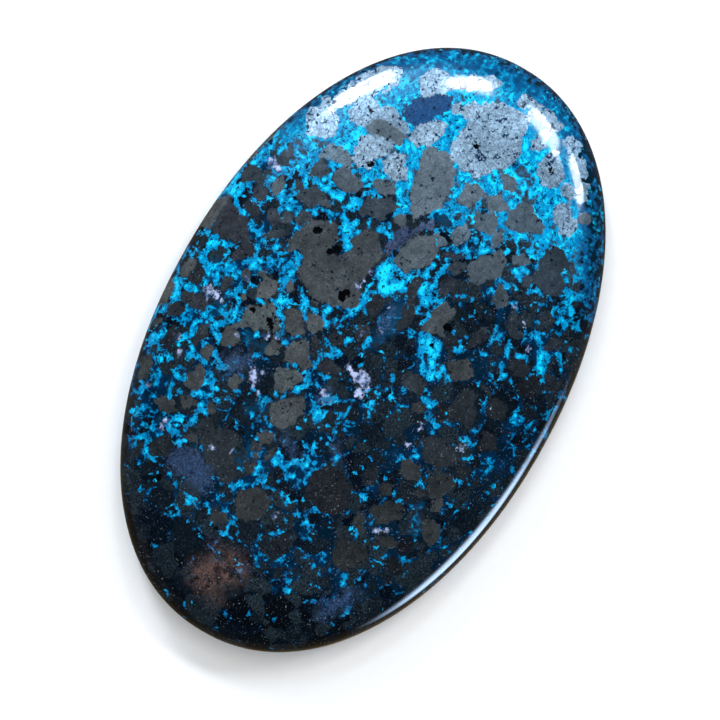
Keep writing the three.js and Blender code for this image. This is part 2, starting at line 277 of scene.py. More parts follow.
     (14.1, -6.8), (13.8, -7.0), (13.4, -6.9), (13.4, -6.4)),
    (GREY, (12.4, -7.4), (12.7, -7.2), (13.0, -7.4), (12.9, -7.8), (12.5, -7.7)),
    (PALE_AND_HIGHLIGHT, (15.9, -4.4), (16.3, -4.2), (16.5, -4.5), (16.4, -5.2), (16.2, -5.0), (16.0, -4.7)),
    # the next four trace the arcs where the panels' highlights fall: painted highlights, drawn as pale
    # clasts
    (PALE_AND_HIGHLIGHT, (15.4, 3.2), (15.9, 3.1), (16.8, 2.1), (17.3, 1.1), (17.1, 0.6), (16.6, 1.0), (15.9, 2.2)),
    (PALE_AND_HIGHLIGHT, (16.7, -0.9), (17.3, -1.0), (17.2, -2.4), (16.9, -3.7), (16.3, -3.7), (16.4, -2.3)),
    (PALE_AND_HIGHLIGHT, (14.6, -6.4), (15.2, -6.2), (16.2, -4.9), (15.9, -4.6), (15.0, -5.7)),
    (PALE_AND_HIGHLIGHT, (10.9, 9.0), (12.2, 8.4), (13.4, 8.0), (14.3, 7.5), (15.0, 6.6), (15.0, 5.9), (14.2, 5.8),
     (13.4, 6.3), (12.3, 7.1), (11.7, 7.7)),
    # violet-blue pieces
    (NAVY, (12.6, 4.2), (12.8, 4.5), (13.5, 4.5), (14.0, 4.3), (14.4, 4.0), (14.9, 3.3), (15.0, 2.6),
     (14.5, 2.4), (13.9, 2.8), (13.2, 3.2), (12.7, 3.6)),
    (VIOLET, (5.3, 1.3), (5.7, 1.75), (6.5, 1.6), (7.0, 1.3), (7.3, 1.0), (6.9, 0.7), (6.3, 0.85),
     (5.8, 1.2)),
    (VIOLET, (7.1, 0.8), (7.6, 0.6), (7.9, 0.2), (8.3, 0.1), (7.75, -0.2), (7.6, 0.3)),
)

# Routes of the blue veins on the crown: the vein's width, then the points that it runs through.
# A vein with one point is a round spot.
VEINS = (
    # the upper rim, right of the middle
    (0.55, (3.7, 11.65), (4.4, 11.4), (5.0, 11.3)), (0.3, (4.8, 11.5), (5.6, 11.4)),
    (0.6, (4.1, 11.2), (4.25, 10.8)), (0.35, (4.0, 10.9), (3.75, 10.4), (3.45, 10.1), (3.3, 9.7)),
    (0.3, (4.3, 10.7), (4.7, 10.8)),
    (0.25, (4.75, 10.9), (4.95, 10.2), (4.5, 9.95), (4.25, 9.7), (4.35, 9.2)),
    (0.4, (6.2, 10.9), (6.6, 10.65), (7.1, 10.8)), (0.25, (6.7, 10.4)), (0.3, (7.35, 9.85), (7.7, 9.8)),
    (0.3, (8.4, 10.0), (8.4, 9.5), (8.2, 9.1), (7.8, 8.9)), (0.25, (8.5, 10.05), (8.8, 10.4), (9.1, 10.45)),
    (0.3, (5.3, 9.3), (5.6, 9.5), (5.9, 9.5), (6.1, 9.2)), (0.3, (7.2, 8.7), (7.5, 8.4), (7.1, 8.0)),
    (0.35, (7.9, 8.8), (7.7, 8.3), (7.8, 7.8)), (0.35, (7.3, 7.9), (8.0, 7.7), (8.6, 8.1)),
    (0.4, (8.2, 8.7), (8.8, 8.3)), (0.4, (8.8, 9.2), (8.6, 8.6)),
    (0.25, (6.45, 8.75), (6.45, 8.1), (6.2, 8.1)), (0.35, (6.9, 8.0), (6.75, 7.6), (6.4, 7.45)),
    (0.2, (6.9, 7.4), (7.1, 7.1)), (0.5, (6.95, 6.9), (6.9, 6.4)), (0.55, (6.75, 6.0), (6.85, 5.3)),
    (0.2, (7.25, 6.4), (7.3, 5.9)), (0.25, (6.3, 5.5)),
    (0.3, (3.1, 9.2), (2.7, 9.0), (2.7, 8.5), (3.2, 8.35)), (0.3, (2.5, 8.4), (2.1, 8.25), (1.9, 8.0)),
    (0.25, (2.3, 7.7), (2.6, 7.8)), (0.4, (2.5, 7.3), (2.6, 7.05)), (0.25, (2.5, 6.65)), (0.25, (1.7, 6.8)),
    (0.35, (1.7, 6.2), (2.2, 6.0)), (0.4, (1.6, 5.6)), (0.35, (2.3, 5.6), (2.75, 5.8)), (0.2, (1.6, 7.6)),
    (0.3, (4.1, 6.55), (4.0, 6.75)), (0.35, (4.6, 8.1), (5.0, 8.4)), (0.2, (5.2, 7.9), (5.5, 7.85)),
    (0.25, (4.85, 7.7), (4.85, 7.2)), (0.25, (5.3, 7.8), (5.2, 7.15)), (0.2, (4.6, 7.15), (5.2, 7.05)),
    (0.3, (5.2, 6.7), (5.4, 6.4), (5.3, 6.2)), (0.3, (5.65, 5.95)), (0.25, (5.75, 5.55)),
    (0.3, (5.5, 5.4), (5.3, 5.2)), (0.4, (8.1, 6.6), (8.3, 6.7), (8.35, 6.3)),
    (0.3, (8.5, 5.4), (8.7, 5.2)), (0.4, (8.4, 4.7), (8.8, 4.9)), (0.3, (8.7, 4.3)),
    # from the notch of the heart-shaped plate to the right
    (0.4, (4.3, 3.7), (4.6, 3.6)), (0.5, (4.7, 4.0), (5.3, 4.0), (5.8, 3.9)), (0.3, (5.6, 3.6)),
    (0.35, (5.2, 4.3), (5.7, 4.4)), (0.35, (5.8, 4.6), (6.3, 4.85), (6.6, 4.6), (6.9, 4.4)),
    (0.4, (7.1, 4.7), (7.3, 4.5)), (0.3, (6.4, 4.25), (7.5, 4.3), (8.0, 4.1)),
    (0.25, (8.1, 4.0), (7.9, 3.7), (7.65, 3.75)), (0.25, (6.3, 3.2), (6.6, 3.2)), (0.35, (6.2, 2.4)),
    (0.35, (6.35, 2.1), (6.3, 1.8)), (0.2, (6.6, 1.85)), (0.35, (8.6, 2.6), (8.4, 2.2)), (0.25, (8.3, 2.0)),
    (0.2, (7.8, 1.8)),
    # the upper rim, left of the middle
    (0.35, (-4.2, 11.5), (-3.95, 11.6)), (0.25, (-3.8, 11.2), (-3.4, 11.15)),
    (0.3, (-5.4, 11.0), (-5.3, 10.6)), (0.3, (-4.85, 10.5), (-5.1, 10.5)),
    (0.25, (-4.5, 10.6), (-4.1, 10.75)), (0.4, (-2.9, 10.9), (-2.5, 10.9)),
    (0.35, (-2.3, 11.0), (-2.0, 11.2), (-1.8, 11.4)), (0.4, (-1.85, 11.4), (-1.85, 10.3)),
    (0.2, (-2.75, 10.15)), (0.25, (-3.2, 9.8), (-3.15, 9.9)), (0.2, (-2.85, 9.5), (-2.95, 9.2)),
    (0.35, (-4.6, 9.25), (-4.1, 9.1), (-3.6, 9.1)), (0.3, (-4.3, 8.9), (-3.9, 8.9)), (0.2, (-4.0, 9.5)),
    (0.35, (-3.3, 8.95), (-2.9, 8.8), (-2.7, 8.6)), (0.25, (-2.7, 8.45), (-3.1, 8.1)),
    (0.45, (-3.3, 8.15), (-3.1, 7.9)), (0.4, (-3.7, 7.9), (-3.75, 7.5)), (0.4, (-5.2, 8.5), (-4.9, 8.6)),
    (0.3, (-5.4, 8.2), (-5.2, 8.1)), (0.3, (-2.9, 7.6), (-2.5, 7.45), (-2.3, 7.2), (-2.0, 7.3)),
    (0.2, (-2.2, 7.05), (-1.6, 6.95), (-1.2, 6.95)), (0.25, (-1.9, 7.4), (-1.5, 7.5)),
    (0.3, (-1.4, 7.5), (-1.15, 7.75), (-0.6, 7.9)), (0.3, (-1.3, 8.15), (-1.0, 8.1)),
    (0.2, (-1.1, 8.4), (-0.8, 8.25)), (0.2, (-0.25, 8.9), (-0.1, 8.5), (-0.2, 8.1)),
    (0.35, (-0.9, 9.2), (-0.6, 9.3)), (0.35, (-0.3, 10.4), (0.0, 10.6)),
    (0.25, (0.2, 9.0), (0.4, 9.2), (0.8, 9.3)), (0.2, (0.6, 9.2), (0.9, 9.5), (1.0, 9.8)),
    (0.5, (0.8, 10.7), (1.3, 10.6)), (0.45, (1.0, 10.5), (1.15, 10.1), (1.1, 9.8)),
    (0.25, (1.1, 9.7), (1.35, 9.45)), (0.4, (-0.8, 11.9), (-0.1, 11.9)), (0.3, (-0.15, 11.6), (-0.2, 11.3)),
    (0.25, (0.3, 11.1)), (0.25, (1.3, 11.1)), (0.2, (-1.4, 11.5), (-1.1, 11.7)),
    (0.25, (0.7, 8.45), (1.0, 8.25)), (0.5, (0.75, 7.8), (1.1, 7.8), (1.3, 7.6)),
    (0.2, (0.6, 7.45), (0.8, 7.5)), (0.25, (1.1, 6.7)), (0.25, (-6.2, 10.8), (-5.95, 10.6), (-5.7, 10.6)),
    (0.35, (-5.6, 10.9), (-5.65, 10.6)), (0.25, (-5.9, 10.2), (-5.8, 9.95)), (0.2, (-6.6, 9.7)),
    (0.15, (-7.6, 9.3), (-7.3, 9.4), (-7.0, 9.6)), (0.2, (-8.65, 10.3), (-8.7, 10.1)),
    (0.3, (-6.8, 8.35), (-6.6, 8.6)), (0.2, (-6.5, 8.1)), (0.2, (-8.0, 8.3), (-7.8, 8.45), (-7.3, 8.5)),
    (0.2, (-7.4, 8.2), (-7.35, 7.9)), (0.3, (-5.6, 8.3)), (0.2, (-7.2, 7.15), (-6.9, 6.95), (-6.8, 6.6)),
    (0.45, (-6.85, 6.5), (-6.75, 6.3)), (0.4, (-6.4, 6.35), (-6.1, 6.5)), (0.25, (-5.9, 6.65), (-5.7, 6.7)),
    (0.3, (-6.25, 6.15)), (0.3, (-6.95, 6.0), (-6.9, 5.7)), (0.25, (-5.7, 5.95)), (0.2, (-6.15, 5.65)),
    (0.2, (-5.9, 5.3), (-5.8, 5.0)), (0.2, (-6.6, 5.0), (-6.4, 5.25)), (0.25, (-6.1, 4.7)),
    (0.2, (-9.3, 6.6), (-9.0, 6.75)), (0.4, (-8.8, 6.4), (-8.5, 6.5), (-8.2, 6.4)),
    (0.3, (-7.8, 6.15), (-7.5, 6.5), (-7.3, 6.5)), (0.2, (-9.4, 7.35), (-9.15, 7.3)),
    (0.2, (-9.9, 9.6), (-9.6, 9.5), (-9.3, 9.35)), (0.2, (-10.0, 9.0), (-9.8, 9.1)),
    (0.2, (-10.15, 8.9), (-10.2, 8.6)), (0.2, (-10.4, 9.1)), (0.25, (-11.1, 8.8), (-11.4, 8.75)),
    (0.25, (-10.9, 8.3), (-10.6, 8.5), (-10.2, 8.6)), (0.2, (-11.3, 8.0), (-11.0, 8.2)),
    (0.3, (-11.6, 7.9), (-11.4, 7.9)), (0.2, (-10.1, 8.15)), (0.25, (-10.3, 7.8), (-10.1, 7.65)),
    (0.2, (-11.55, 7.05), (-11.55, 6.75)), (0.2, (-12.1, 6.9)), (0.3, (-11.85, 6.05)), (0.25, (-4.85, 6.6)),
    (0.2, (-3.9, 6.7)), (0.2, (-5.0, 7.0)), (0.25, (-5.3, 7.35)), (0.25, (-0.75, 6.5), (-0.7, 6.2)),
    # the slanting vein above the middle, and the web below it
    (0.3, (0.75, 5.75), (1.2, 5.75), (1.6, 5.6)), (0.25, (0.2, 5.55), (0.6, 5.65)),
    (0.6, (-0.1, 5.4), (0.1, 5.1)), (0.35, (-0.6, 5.15), (-0.2, 5.0)),
    (0.25, (-0.9, 4.9), (-1.1, 4.7), (-1.4, 4.5), (-1.6, 4.4)), (0.3, (0.3, 5.0)), (0.2, (0.7, 4.75)),
    (0.25, (1.1, 4.9)), (0.25, (1.3, 4.6), (0.9, 4.4), (0.6, 4.15)), (0.5, (0.1, 4.1), (0.4, 4.0)),
    (0.35, (0.3, 3.6), (0.45, 3.2), (0.6, 2.9), (0.85, 2.7)), (0.25, (0.4, 2.7), (0.1, 2.4)),
    (0.2, (0.7, 2.1), (0.4, 2.1)), (0.25, (0.6, 1.8), (0.9, 1.7), (1.3, 1.6), (1.8, 1.5)),
    (0.25, (-0.2, 3.8), (-0.5, 3.4), (-0.55, 3.1)), (0.2, (1.15, 2.4)), (0.2, (-0.25, 2.2)),
    (0.35, (-2.05, 4.0)), (0.25, (-1.6, 3.9)), (0.2, (-3.1, 3.2)), (0.2, (-2.9, 2.8)),
    (0.3, (-4.4, 2.3), (-4.2, 2.1), (-3.9, 2.2)), (0.25, (-3.9, 2.0), (-3.6, 1.8), (-3.3, 1.85)),
    (0.25, (-2.9, 1.95), (-2.5, 1.95), (-2.1, 1.85)), (0.2, (-2.4, 2.05), (-2.0, 2.4), (-1.65, 2.65)),
    (0.2, (-2.1, 1.85), (-1.5, 2.05)), (0.25, (-4.0, 1.3), (-4.2, 1.0), (-4.35, 0.7)),
    (0.5, (-4.9, 0.4), (-4.6, 0.3)), (0.25, (-5.1, -0.2), (-4.9, 0.1)), (0.2, (-3.2, 1.35), (-3.3, 1.2)),
    (0.25, (-2.8, 1.1), (-2.55, 0.7)), (0.2, (-3.35, -0.15)),
    (0.25, (-0.5, 2.4), (-0.75, 2.0), (-0.95, 1.7)), (0.2, (-1.1, 1.5), (-1.4, 1.3)), (0.4, (-1.0, 1.0)),
    (0.2, (-0.7, 0.85), (-0.5, 0.9)), (0.15, (-0.4, 0.5), (-0.2, 0.2)),
    (0.3, (-0.2, -0.1), (0.1, 0.05), (0.45, -0.2)), (0.2, (0.1, 1.9), (0.0, 1.5)),
    (0.2, (-0.2, 1.1), (0.05, 0.7)), (0.25, (-4.95, 2.95), (-4.75, 3.2)),
    (0.35, (1.6, 1.4), (1.9, 1.3), (2.2, 1.2)), (0.25, (2.2, 1.3), (2.6, 1.25), (3.0, 0.9)),
    (0.25, (1.55, 0.5), (1.7, 0.8), (2.0, 1.0)),
    # the three bright patches below the middle
    (0.9, (3.4, 0.5), (3.9, 0.9), (4.6, 1.0)), (0.8, (3.7, 0.2), (4.0, -0.2)),
    (0.35, (4.4, 1.3), (5.0, 1.3)), (0.25, (4.8, 0.6), (4.7, 0.1)), (0.2, (3.2, -0.35), (3.6, -0.45)),
    (0.25, (4.1, -0.4), (4.6, -0.35), (5.0, -0.4), (5.25, -0.6)),
    (0.45, (5.2, -1.15), (5.6, -1.0), (5.9, -1.2)), (0.55, (4.8, -1.35), (4.3, -1.6), (3.9, -2.0)),
    (0.55, (4.2, -2.2), (4.4, -2.5)), (0.35, (4.8, -1.8), (5.4, -1.7), (5.9, -1.9), (6.6, -1.9)),
    (0.25, (6.7, -1.7)), (0.25, (3.5, -1.7)), (0.35, (3.15, -1.9), (3.2, -1.7)),
    (0.25, (2.7, -2.3), (3.1, -2.4), (3.6, -2.4)), (0.2, (6.4, -1.3), (6.5, -1.1)), (0.28, (5.95, 0.3)),
    (0.2, (5.5, 0.05)), (0.55, (0.3, -3.8), (1.0, -3.3), (1.9, -2.75)), (0.8, (0.8, -4.1), (2.1, -3.1)),
    (0.7, (0.4, -4.2), (1.2, -3.8), (2.3, -3.6)), (0.6, (0.6, -4.6), (1.0, -4.6)),
    (0.35, (0.4, -5.2), (0.7, -5.0)), (0.4, (2.2, -2.6), (2.3, -3.2)),
    # the lower side, right of the middle
    (0.25, (7.1, -0.85), (7.2, -0.7)), (0.25, (7.2, -1.5), (7.5, -1.5)), (0.25, (7.4, -2.05)),
    (0.25, (7.7, -2.3), (7.4, -2.7)), (0.35, (7.7, -3.0), (8.1, -3.2), (8.3, -3.5)), (0.3, (8.7, -3.2)),
    (0.25, (8.5, -2.5), (8.9, -2.8)), (0.2, (8.4, -1.2), (8.9, -1.2)),
    (0.25, (5.2, -3.4), (5.3, -3.8), (5.3, -4.1)), (0.25, (4.2, -4.1)), (0.25, (3.2, -4.1)),
    (0.3, (1.6, -4.7)), (0.4, (3.1, -4.7), (3.4, -4.85)), (0.2, (3.85, -4.85)),
    (0.4, (6.3, -4.7), (6.4, -4.9)), (0.25, (6.2, -5.1)), (0.25, (5.4, -5.25), (5.2, -5.5)),
    (0.25, (5.35, -5.8)), (0.5, (7.7, -5.8), (8.0, -5.6), (8.1, -5.4)), (0.3, (8.3, -5.7), (8.4, -6.2)),
    (0.2, (8.2, -5.0)), (0.4, (4.3, -6.3), (4.35, -6.6)), (0.25, (4.0, -6.8), (3.9, -7.2)),
    (0.3, (4.4, -7.2)), (0.45, (3.6, -7.4), (4.0, -7.2)), (0.45, (2.7, -7.5), (3.0, -7.4)),
    (0.4, (2.5, -7.9), (2.4, -8.3)), (0.25, (2.1, -7.9), (2.6, -7.8)),
    (0.2, (1.3, -7.85), (1.6, -7.8), (1.9, -7.95)), (0.2, (2.3, -8.6)), (0.25, (2.7, -6.7)),
    (0.2, (2.65, -8.8)), (0.45, (3.8, -8.0), (3.95, -8.3)), (0.25, (4.3, -8.05)), (0.3, (3.8, -8.75)),
    (0.3, (5.0, -8.1)), (0.35, (5.4, -8.4), (5.4, -8.75), (5.2, -8.8)), (0.2, (5.8, -8.65)),
    (0.2, (6.1, -8.15)), (0.7, (3.9, -9.5), (4.3, -9.3), (4.6, -9.2)), (0.4, (3.8, -9.7)),
    (0.4, (4.4, -9.6)), (0.2, (3.4, -9.9)), (0.25, (3.0, -9.15)), (0.25, (4.8, -9.7)),
    (0.25, (5.1, -10.35), (5.0, -10.2)), (0.2, (4.7, -10.3), (4.3, -10.6)), (0.3, (5.8, -10.4)),
    (0.25, (5.9, -10.9)), (0.3, (7.5, -6.7), (7.8, -7.1), (7.6, -7.4)), (0.3, (7.0, -7.6), (7.2, -7.8)),
    (0.25, (7.65, -8.2)), (0.25, (7.3, -8.7), (7.4, -8.95), (7.6, -9.05)), (0.3, (7.1, -9.7), (7.15, -9.9)),
    (0.2, (7.0, -10.15)), (0.35, (8.1, -8.8), (8.4, -8.75)), (0.25, (1.7, -10.5), (1.9, -10.4)),
    (0.3, (2.3, -11.4)), (0.35, (3.2, -11.65)), (0.3, (1.7, -9.0)), (0.2, (1.5, -11.2)),
    # the lower side, left of the middle
    (0.2, (-3.5, -2.3), (-3.0, -2.2)), (0.35, (-2.9, -2.0), (-2.6, -2.1)), (0.35, (-2.5, -2.35)),
    (0.2, (-2.2, -2.45), (-1.9, -2.7)), (0.35, (-1.8, -2.3), (-1.5, -2.4)),
    (0.2, (-1.2, -2.5), (-0.8, -2.3)), (0.2, (-1.0, -2.85)), (0.25, (-1.2, -3.3), (-1.1, -3.2)),
    (0.25, (-1.65, -3.5)), (0.25, (-2.25, -3.55)), (0.2, (-4.5, -0.9), (-4.1, -0.8)), (0.2, (-4.75, -1.2)),
    (0.25, (0.7, -1.85)), (0.3, (-5.0, -3.9)), (0.25, (-4.6, -4.8), (-4.5, -4.7)),
    (0.4, (-4.2, -5.5), (-4.0, -5.8)), (0.2, (-3.5, -5.6), (-3.2, -5.45)),
    (0.25, (-5.3, -6.8), (-5.0, -6.7)), (0.35, (-1.0, -4.4), (-0.9, -4.8)),
    (0.5, (-1.2, -4.9), (-0.8, -5.0)), (0.3, (-1.5, -5.2), (-1.7, -5.5)),
    (0.25, (-2.3, -5.6), (-2.2, -5.8)), (0.35, (-1.5, -6.2), (-1.25, -6.4)), (0.25, (-1.6, -6.4)),
    (0.2, (-1.2, -6.9), (-1.1, -7.15)), (0.2, (-2.15, -7.6), (-2.0, -8.0)),
    (0.2, (-1.9, -8.2), (-1.6, -8.25)), (0.3, (-1.1, -7.85), (-1.3, -8.15)),
    (0.3, (0.3, -7.6), (0.75, -7.6)), (0.2, (1.75, -8.4)), (0.25, (-2.9, -8.4)), (0.25, (-2.65, -8.7)),
    (0.25, (-4.0, -8.5), (-4.3, -8.75)), (0.3, (-3.0, -9.4), (-2.7, -9.7), (-2.4, -9.75)),
    (0.35, (-2.4, -9.6), (-2.1, -9.5)), (0.3, (-5.1, -9.5)), (0.25, (-2.2, -10.2), (-2.0, -10.35)),
    (0.3, (-0.4, -9.95)), (0.2, (-0.05, -9.65)), (0.2, (0.5, -9.85)), (0.2, (-1.4, -10.85), (-1.1, -10.75)),
    (0.2, (1.2, -9.7)), (0.2, (1.1, -10.75)), (0.2, (-0.6, -11.3)), (0.2, (-3.8, -10.85)),
    (0.2, (0.2, -11.35)), (0.2, (-6.3, -1.8), (-6.5, -1.95)), (0.25, (-6.9, -2.35)), (0.2, (-6.2, -3.35)),
    (0.6, (-12.4, -5.6), (-12.1, -5.6)), (0.2, (-12.0, -5.1)), (0.25, (-11.3, -6.15)),
    (0.2, (-11.25, -6.55)), (0.35, (-11.7, -6.4)), (0.25, (-9.8, -4.95)), (0.25, (-9.25, -4.5)),
    (0.2, (-9.75, -5.6)), (0.2, (-8.7, -5.4), (-8.4, -5.3)), (0.25, (-8.6, -4.9)), (0.2, (-7.75, -4.25)),
    (0.3, (-7.4, -5.2)), (0.3, (-6.75, -4.45)), (0.25, (-6.6, -5.7), (-6.4, -5.6)), (0.2, (-5.5, -5.5)),
    (0.2, (-10.1, -6.9), (-9.8, -7.0)), (0.4, (-6.5, -6.8)), (0.2, (-7.05, -7.7)),
    (0.25, (-9.7, -8.1), (-9.4, -8.0)), (0.3, (-9.5, -8.4)), (0.2, (-8.85, -8.45), (-8.5, -8.2)),
    (0.2, (-8.55, -9.0)), (0.2, (-7.85, -9.9)), (0.28, (-6.1, -8.75)), (0.2, (-5.9, -9.0)),
    (0.25, (-5.4, -8.85)), (0.2, (-6.55, -9.05)), (0.2, (-5.9, -9.55)),
    # the left half of the middle
    (0.2, (-12.7, 3.95), (-12.85, 3.5), (-12.9, 3.1), (-12.4, 2.95), (-12.2, 2.75), (-12.1, 2.5),
     (-12.05, 2.1)), (0.25, (-11.6, 2.9), (-11.4, 2.75)), (0.3, (-11.75, 2.55), (-11.55, 2.5)),
    (0.5, (-10.7, 2.5), (-10.5, 2.35)), (0.25, (-10.2, 1.85), (-10.0, 1.65)),
    (0.35, (-9.4, 1.85), (-9.0, 1.8)), (0.2, (-8.8, 2.1), (-8.7, 1.8)), (0.2, (-8.4, 2.1), (-8.1, 1.95)),
    (0.2, (-8.3, 2.4)), (0.6, (-8.2, 1.25)), (0.2, (-9.6, 1.35)), (0.2, (-9.1, 1.2)), (0.2, (-9.85, 0.8)),
    (0.2, (-8.4, 0.7), (-8.35, 0.35)), (0.3, (-8.6, 0.1), (-8.55, -0.05)),
    (0.2, (-9.6, -0.1), (-9.85, -0.45)), (0.2, (-7.9, -0.45), (-7.7, -0.2)),
    (0.25, (-7.35, -0.5), (-7.1, -0.35)), (0.2, (-8.0, -0.85), (-7.5, -0.9), (-7.2, -1.0)),
    (0.2, (-8.75, -0.7), (-8.5, -0.5)), (0.28, (-5.9, 3.2), (-5.3, 3.2)), (0.2, (-6.2, 3.05), (-6.45, 2.8)),
    (0.2, (-6.7, 2.45)), (0.2, (-12.3, -0.75), (-12.0, -0.85), (-11.7, -1.0)), (0.25, (-11.4, -0.75)),
    (0.35, (-10.95, -0.85)), (0.2, (-9.7, -1.85), (-9.5, -2.15), (-9.5, -2.4)),
    (0.25, (-11.2, -2.65), (-10.9, -2.4)), (0.2, (-12.0, -2.45)), (0.2, (-12.3, -3.0), (-12.0, -2.95)),
    (0.3, (-12.35, -3.65)), (0.25, (-11.85, -3.9), (-11.6, -3.95)),
    # the left end
    (0.25, (-14.9, 4.2)), (0.25, (-13.2, 4.05), (-13.4, 4.25)), (0.2, (-13.65, 3.85)),
    (0.3, (-13.8, 3.2), (-13.7, 3.0)), (0.2, (-13.3, 2.4)), (0.25, (-14.2, 1.55)),
    (0.2, (-14.8, 1.2), (-14.7, 1.05)), (0.2, (-13.4, 1.75), (-13.1, 1.55)),
    (0.3, (-12.75, 1.45), (-12.55, 1.6)), (0.2, (-12.8, 1.0)), (0.2, (-12.6, 0.55)),
    (0.25, (-14.15, -0.2), (-14.25, -0.4)), (0.2, (-13.0, -0.35)), (0.3, (-13.4, -1.0), (-13.35, -1.25)),
    (0.2, (-13.7, -0.85)), (0.3, (-13.0, -1.85)), (0.25, (-13.4, -1.8), (-13.4, -2.1)),
    (0.2, (-14.7, -2.35)), (0.2, (-12.55, -2.2)), (0.2, (-13.9, -2.75)),
    (0.2, (-13.7, -2.85), (-13.2, -2.75)), (0.25, (-13.45, -3.15)), (0.2, (-14.0, -3.35)),
    (0.25, (-12.75, 8.4)), (0.3, (-13.5, 6.55)), (0.2, (-12.8, 5.1)), (0.25, (-12.45, 4.8)),
    (0.25, (-13.8, 4.9)), (0.25, (-13.9, -5.3)), (0.2, (-13.4, -5.5)), (0.2, (-13.6, -6.55)),
    (0.25, (-13.3, -4.15)), (0.35, (-12.6, -4.3)),
    # the right end
    (0.25, (9.7, 9.9), (9.85, 9.5)), (0.3, (11.0, 9.45), (11.25, 9.65)),
    (0.3, (11.7, 8.7), (11.35, 8.4), (11.1, 8.0)), (0.5, (11.3, 7.7), (11.6, 7.7)),
    (0.4, (10.8, 7.4), (11.2, 7.6)), (0.4, (10.1, 7.3), (10.5, 7.3)), (0.3, (9.2, 8.2), (9.4, 7.6)),
    (0.2, (10.2, 6.8)), (0.2, (9.6, 6.15), (9.9, 6.3)), (0.5, (13.0, 6.5), (13.4, 6.3), (13.7, 6.1)),
    (0.6, (13.3, 5.3), (13.6, 5.4), (13.9, 5.7)), (0.3, (12.8, 5.9)), (0.4, (13.7, 4.9), (13.9, 5.0)),
    (0.3, (12.9, 5.0)), (0.3, (14.6, 4.6), (14.8, 4.8)), (0.6, (15.4, 5.2), (15.7, 5.4)),
    (0.35, (15.1, 6.9), (15.7, 6.9)), (0.4, (14.1, 7.8), (14.4, 7.5)), (0.4, (13.3, 8.2), (13.1, 8.0)),
    (0.3, (12.65, 8.35)), (0.25, (12.75, 8.9), (12.9, 9.2)), (0.2, (12.3, 9.5)),
    (0.35, (8.9, 4.4), (9.4, 4.4)), (0.4, (8.6, 2.4), (9.1, 2.6), (9.2, 2.2)),
    (0.4, (9.3, 2.3), (9.9, 2.5), (10.4, 2.7), (11.2, 2.7)), (0.3, (10.4, 3.0)),
    (0.5, (11.2, 3.3), (11.4, 3.6)), (0.25, (11.4, 2.8), (11.6, 2.5)), (0.2, (10.7, 3.8)),
    (0.4, (9.1, 3.8), (9.2, 4.2)), (0.35, (12.1, 1.5), (12.6, 1.8), (13.1, 1.6)), (0.25, (12.1, 1.2)),
    (0.5, (13.6, 1.8), (13.9, 1.6), (14.2, 1.4)), (0.3, (13.9, 2.2), (14.0, 2.0)), (0.4, (13.7, 2.7)),
    (0.35, (9.6, -0.5), (10.1, -0.3), (10.6, -0.45), (11.2, -0.2)), (0.25, (11.3, -0.5)),
    (0.25, (9.7, -0.8)), (0.25, (8.8, -1.3)), (0.35, (9.5, -1.4)),
    (0.35, (11.8, -1.3), (11.5, -1.6), (11.3, -1.8)), (0.45, (11.4, -2.1)),
    (0.25, (11.6, -2.6), (11.6, -2.9)), (0.45, (11.4, -3.3)), (0.3, (10.3, -3.4), (9.9, -3.5), (9.8, -4.2)),
    (0.25, (8.6, -2.7)), (0.3, (8.8, -3.3)), (0.25, (8.9, -4.1), (9.3, -4.1)), (0.25, (12.2, -3.2)),
    (0.55, (14.2, -3.0), (14.5, -2.6), (15.1, -2.3), (15.6, -2.4)),
    (0.6, (14.2, -3.2), (14.5, -3.5), (14.9, -3.6)), (0.4, (12.0, -4.8), (12.1, -5.2)),
    (0.5, (11.7, -5.4), (12.2, -5.5)), (0.4, (10.4, -5.6), (10.3, -6.0)),
    (0.45, (10.2, -6.2), (10.6, -6.2), (11.0, -5.9)), (0.4, (10.8, -6.5), (11.1, -6.3)),
    (0.3, (9.4, -5.6), (9.7, -5.8)), (0.25, (9.3, -6.2), (9.8, -6.3)), (0.25, (8.8, -6.5), (9.0, -6.3)),
    (0.2, (9.2, -5.1)), (0.25, (9.7, -4.4)), (0.25, (13.0, -5.5), (13.1, -6.1)), (0.25, (13.1, -6.5)),
    (0.2, (13.1, -4.6), (13.1, -5.2)), (0.3, (12.2, -7.3)), (0.35, (12.2, -7.7)),
    (0.2, (11.4, -7.5), (11.5, -7.8)), (0.2, (10.75, -7.45), (11.0, -7.6)), (0.25, (10.3, -7.7)),
    (0.2, (10.2, -8.05)), (0.45, (9.2, -8.3)), (0.2, (11.3, -8.2)), (0.2, (10.1, -9.0)),
    (0.2, (10.8, -9.1)), (0.2, (12.3, -8.35), (12.2, -8.6)), (0.2, (12.5, -9.0)),
    (0.25, (13.0, -8.0), (13.4, -8.0)), (0.45, (13.3, -7.4)), (0.25, (13.9, -8.15)),
    (0.45, (14.6, -5.3), (14.4, -5.7)), (0.5, (15.4, -4.7), (15.2, -5.0), (14.9, -5.2)),
    (0.35, (14.3, -6.0), (14.6, -6.3)), (0.4, (14.7, -6.5), (15.0, -6.7), (15.3, -6.9)),
    (0.5, (16.5, 0.1), (17.0, 0.0), (17.4, -0.2)), (0.4, (16.9, -0.7), (17.3, -0.6)), (0.3, (17.65, -0.7)),
    (0.4, (16.5, -1.4), (16.8, -1.6)), (0.4, (18.3, 1.75)), (0.25, (17.8, 2.1)), (0.4, (17.3, -2.3)),
    (0.2, (17.7, -3.0), (18.1, -2.6)), (0.7, (16.3, -3.9), (17.0, -4.1), (17.3, -4.3)), (0.3, (17.6, -3.6)),
    (0.3, (15.9, -5.5)), (0.25, (16.1, -5.9)), (0.6, (16.1, 5.7), (16.0, 5.3)), (0.6, (16.7, 4.0)),
    (0.4, (17.2, 2.6)),
)

